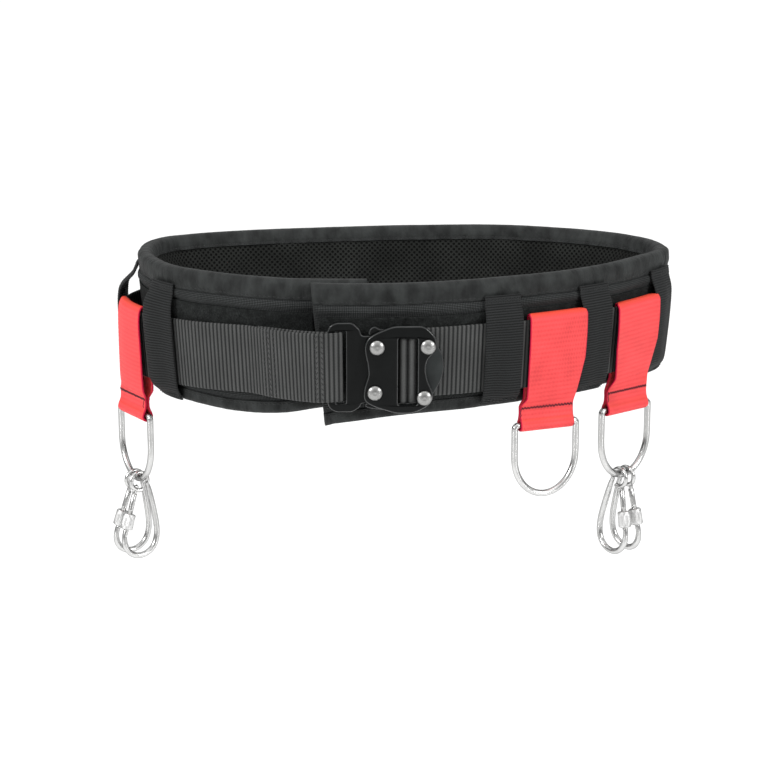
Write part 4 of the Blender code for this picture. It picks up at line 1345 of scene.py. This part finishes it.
def make_ring_set(letter, frame_at, swing):
    """A D-ring, and its two snap hooks where it has them."""
    outward = frame_at.to_3x3() @ Vector((0, 1, 0))
    path = smooth_path([(t, 0.0, z, RING_WIRE) for t, z in ring_rows()], 6, True)
    path = [(frame_at @ p, radius) for p, radius in path]
    ring = tube(f"d_ring_{letter}", path, 24, True, outward, STEEL, f"ring_{letter}", (f"ring_{letter}",))
    if swing is None:
        return
    depth = RING_DROP - RING_STRAIGHT
    for number, sign in ((1, -1), (2, 1)):
        t = sign * HOOK_SPACING
        z = -RING_STRAIGHT - depth * math.sqrt(1 - (t / RING_HALF_WIDTH) ** 2)
        hang = frame_at @ Matrix.Translation((t, 0, z)) @ Matrix.Rotation(-sign * HOOK_SPLAY, 4, "Y")
        hang = hang @ Matrix.Rotation(math.radians(swing), 4, "X")
        make_hook(f"hook_{letter}{number}", hang)


# Studio


def make_studio():
    """A wide pale floor, a sky that the camera sees as white, soft lights, and the photograph's camera."""
    scene = bpy.context.scene
    scene.view_settings.view_transform = "Standard"

    mesh = bpy.data.meshes.new("floor")
    corners = [(x * FLOOR_SIZE, y * FLOOR_SIZE, FLOOR_LEVEL) for x, y in ((-1, -1), (1, -1), (1, 1), (-1, 1))]
    mesh.from_pydata(corners, [], [(0, 1, 2, 3)])
    floor = bpy.data.objects.new("floor", mesh)
    scene.collection.objects.link(floor)
    look = Look("floor_white", 0.9)
    look.colour(look.ramp(look.noise(900), (0.3, 0.93), (0.7, 0.95)))
    mesh.materials.append(look.material)

    world = bpy.data.worlds.new("studio")
    scene.world = world
    world.use_nodes = True
    nodes = Nodes(world.node_tree)
    glow = nodes.ramp(nodes.split(nodes.place("Generated"))[2], (0.02, 0.1), (0.6, 1.0))
    seen = nodes.node("ShaderNodeLightPath").outputs["Is Camera Ray"]
    background = nodes.tree.nodes["Background"]
    nodes.plug(nodes.mix(seen, glow, (0.95, 0.95, 0.95, 1.0)), background.inputs["Color"])
    nodes.plug(1.3, background.inputs["Strength"])

    for name, place, side, power in LIGHTS:
        data = bpy.data.lights.new(name, "AREA")
        data.size = side
        data.energy = power
        lamp = bpy.data.objects.new(name, data)
        lamp.location = place
        lamp.rotation_euler = (Vector((0, 0, -0.02)) - Vector(place)).to_track_quat("-Z", "Y").to_euler()
        scene.collection.objects.link(lamp)

    forward = Vector((0, math.cos(CAMERA_TILT), -math.sin(CAMERA_TILT)))
    data = bpy.data.cameras.new("camera")
    data.sensor_width = 36.0
    data.lens = CAMERA_FOCUS * data.sensor_width
    camera = bpy.data.objects.new("camera", data)
    camera.location = Vector(CAMERA_AIM) - forward * CAMERA_DISTANCE
    camera.rotation_euler = forward.to_track_quat("-Z", "Y").to_euler()
    scene.collection.objects.link(camera)
    scene.camera = camera


def main():
    pad = Plan(spline(PAD_RIM, 12), False)
    outline = hull([row[:2] for row in pad.points[::3]] + spline(STRAP_BULGE, 6))
    taut = Plan(outline, True)
    red_at = [taut.nearest(x, y) for _, x, y, *_ in RED_LOOPS]
    make_studio()
    make_pad(pad)
    make_strap(taut, red_at)
    for number, x, y, stretch in KEEPERS:
        make_keeper(number, x, y, stretch, pad, taut, red_at)
    make_buckle(pad)
    for (letter, _, _, top, bar, turn, stand, aside, swing), s in zip(RED_LOOPS, red_at):
        hanging = hanging_frame(s, bar, turn, stand, aside, taut)
        make_red_loop(letter, s, top, bar, aside, hanging, taut)
        make_ring_set(letter, hanging, swing)


main()
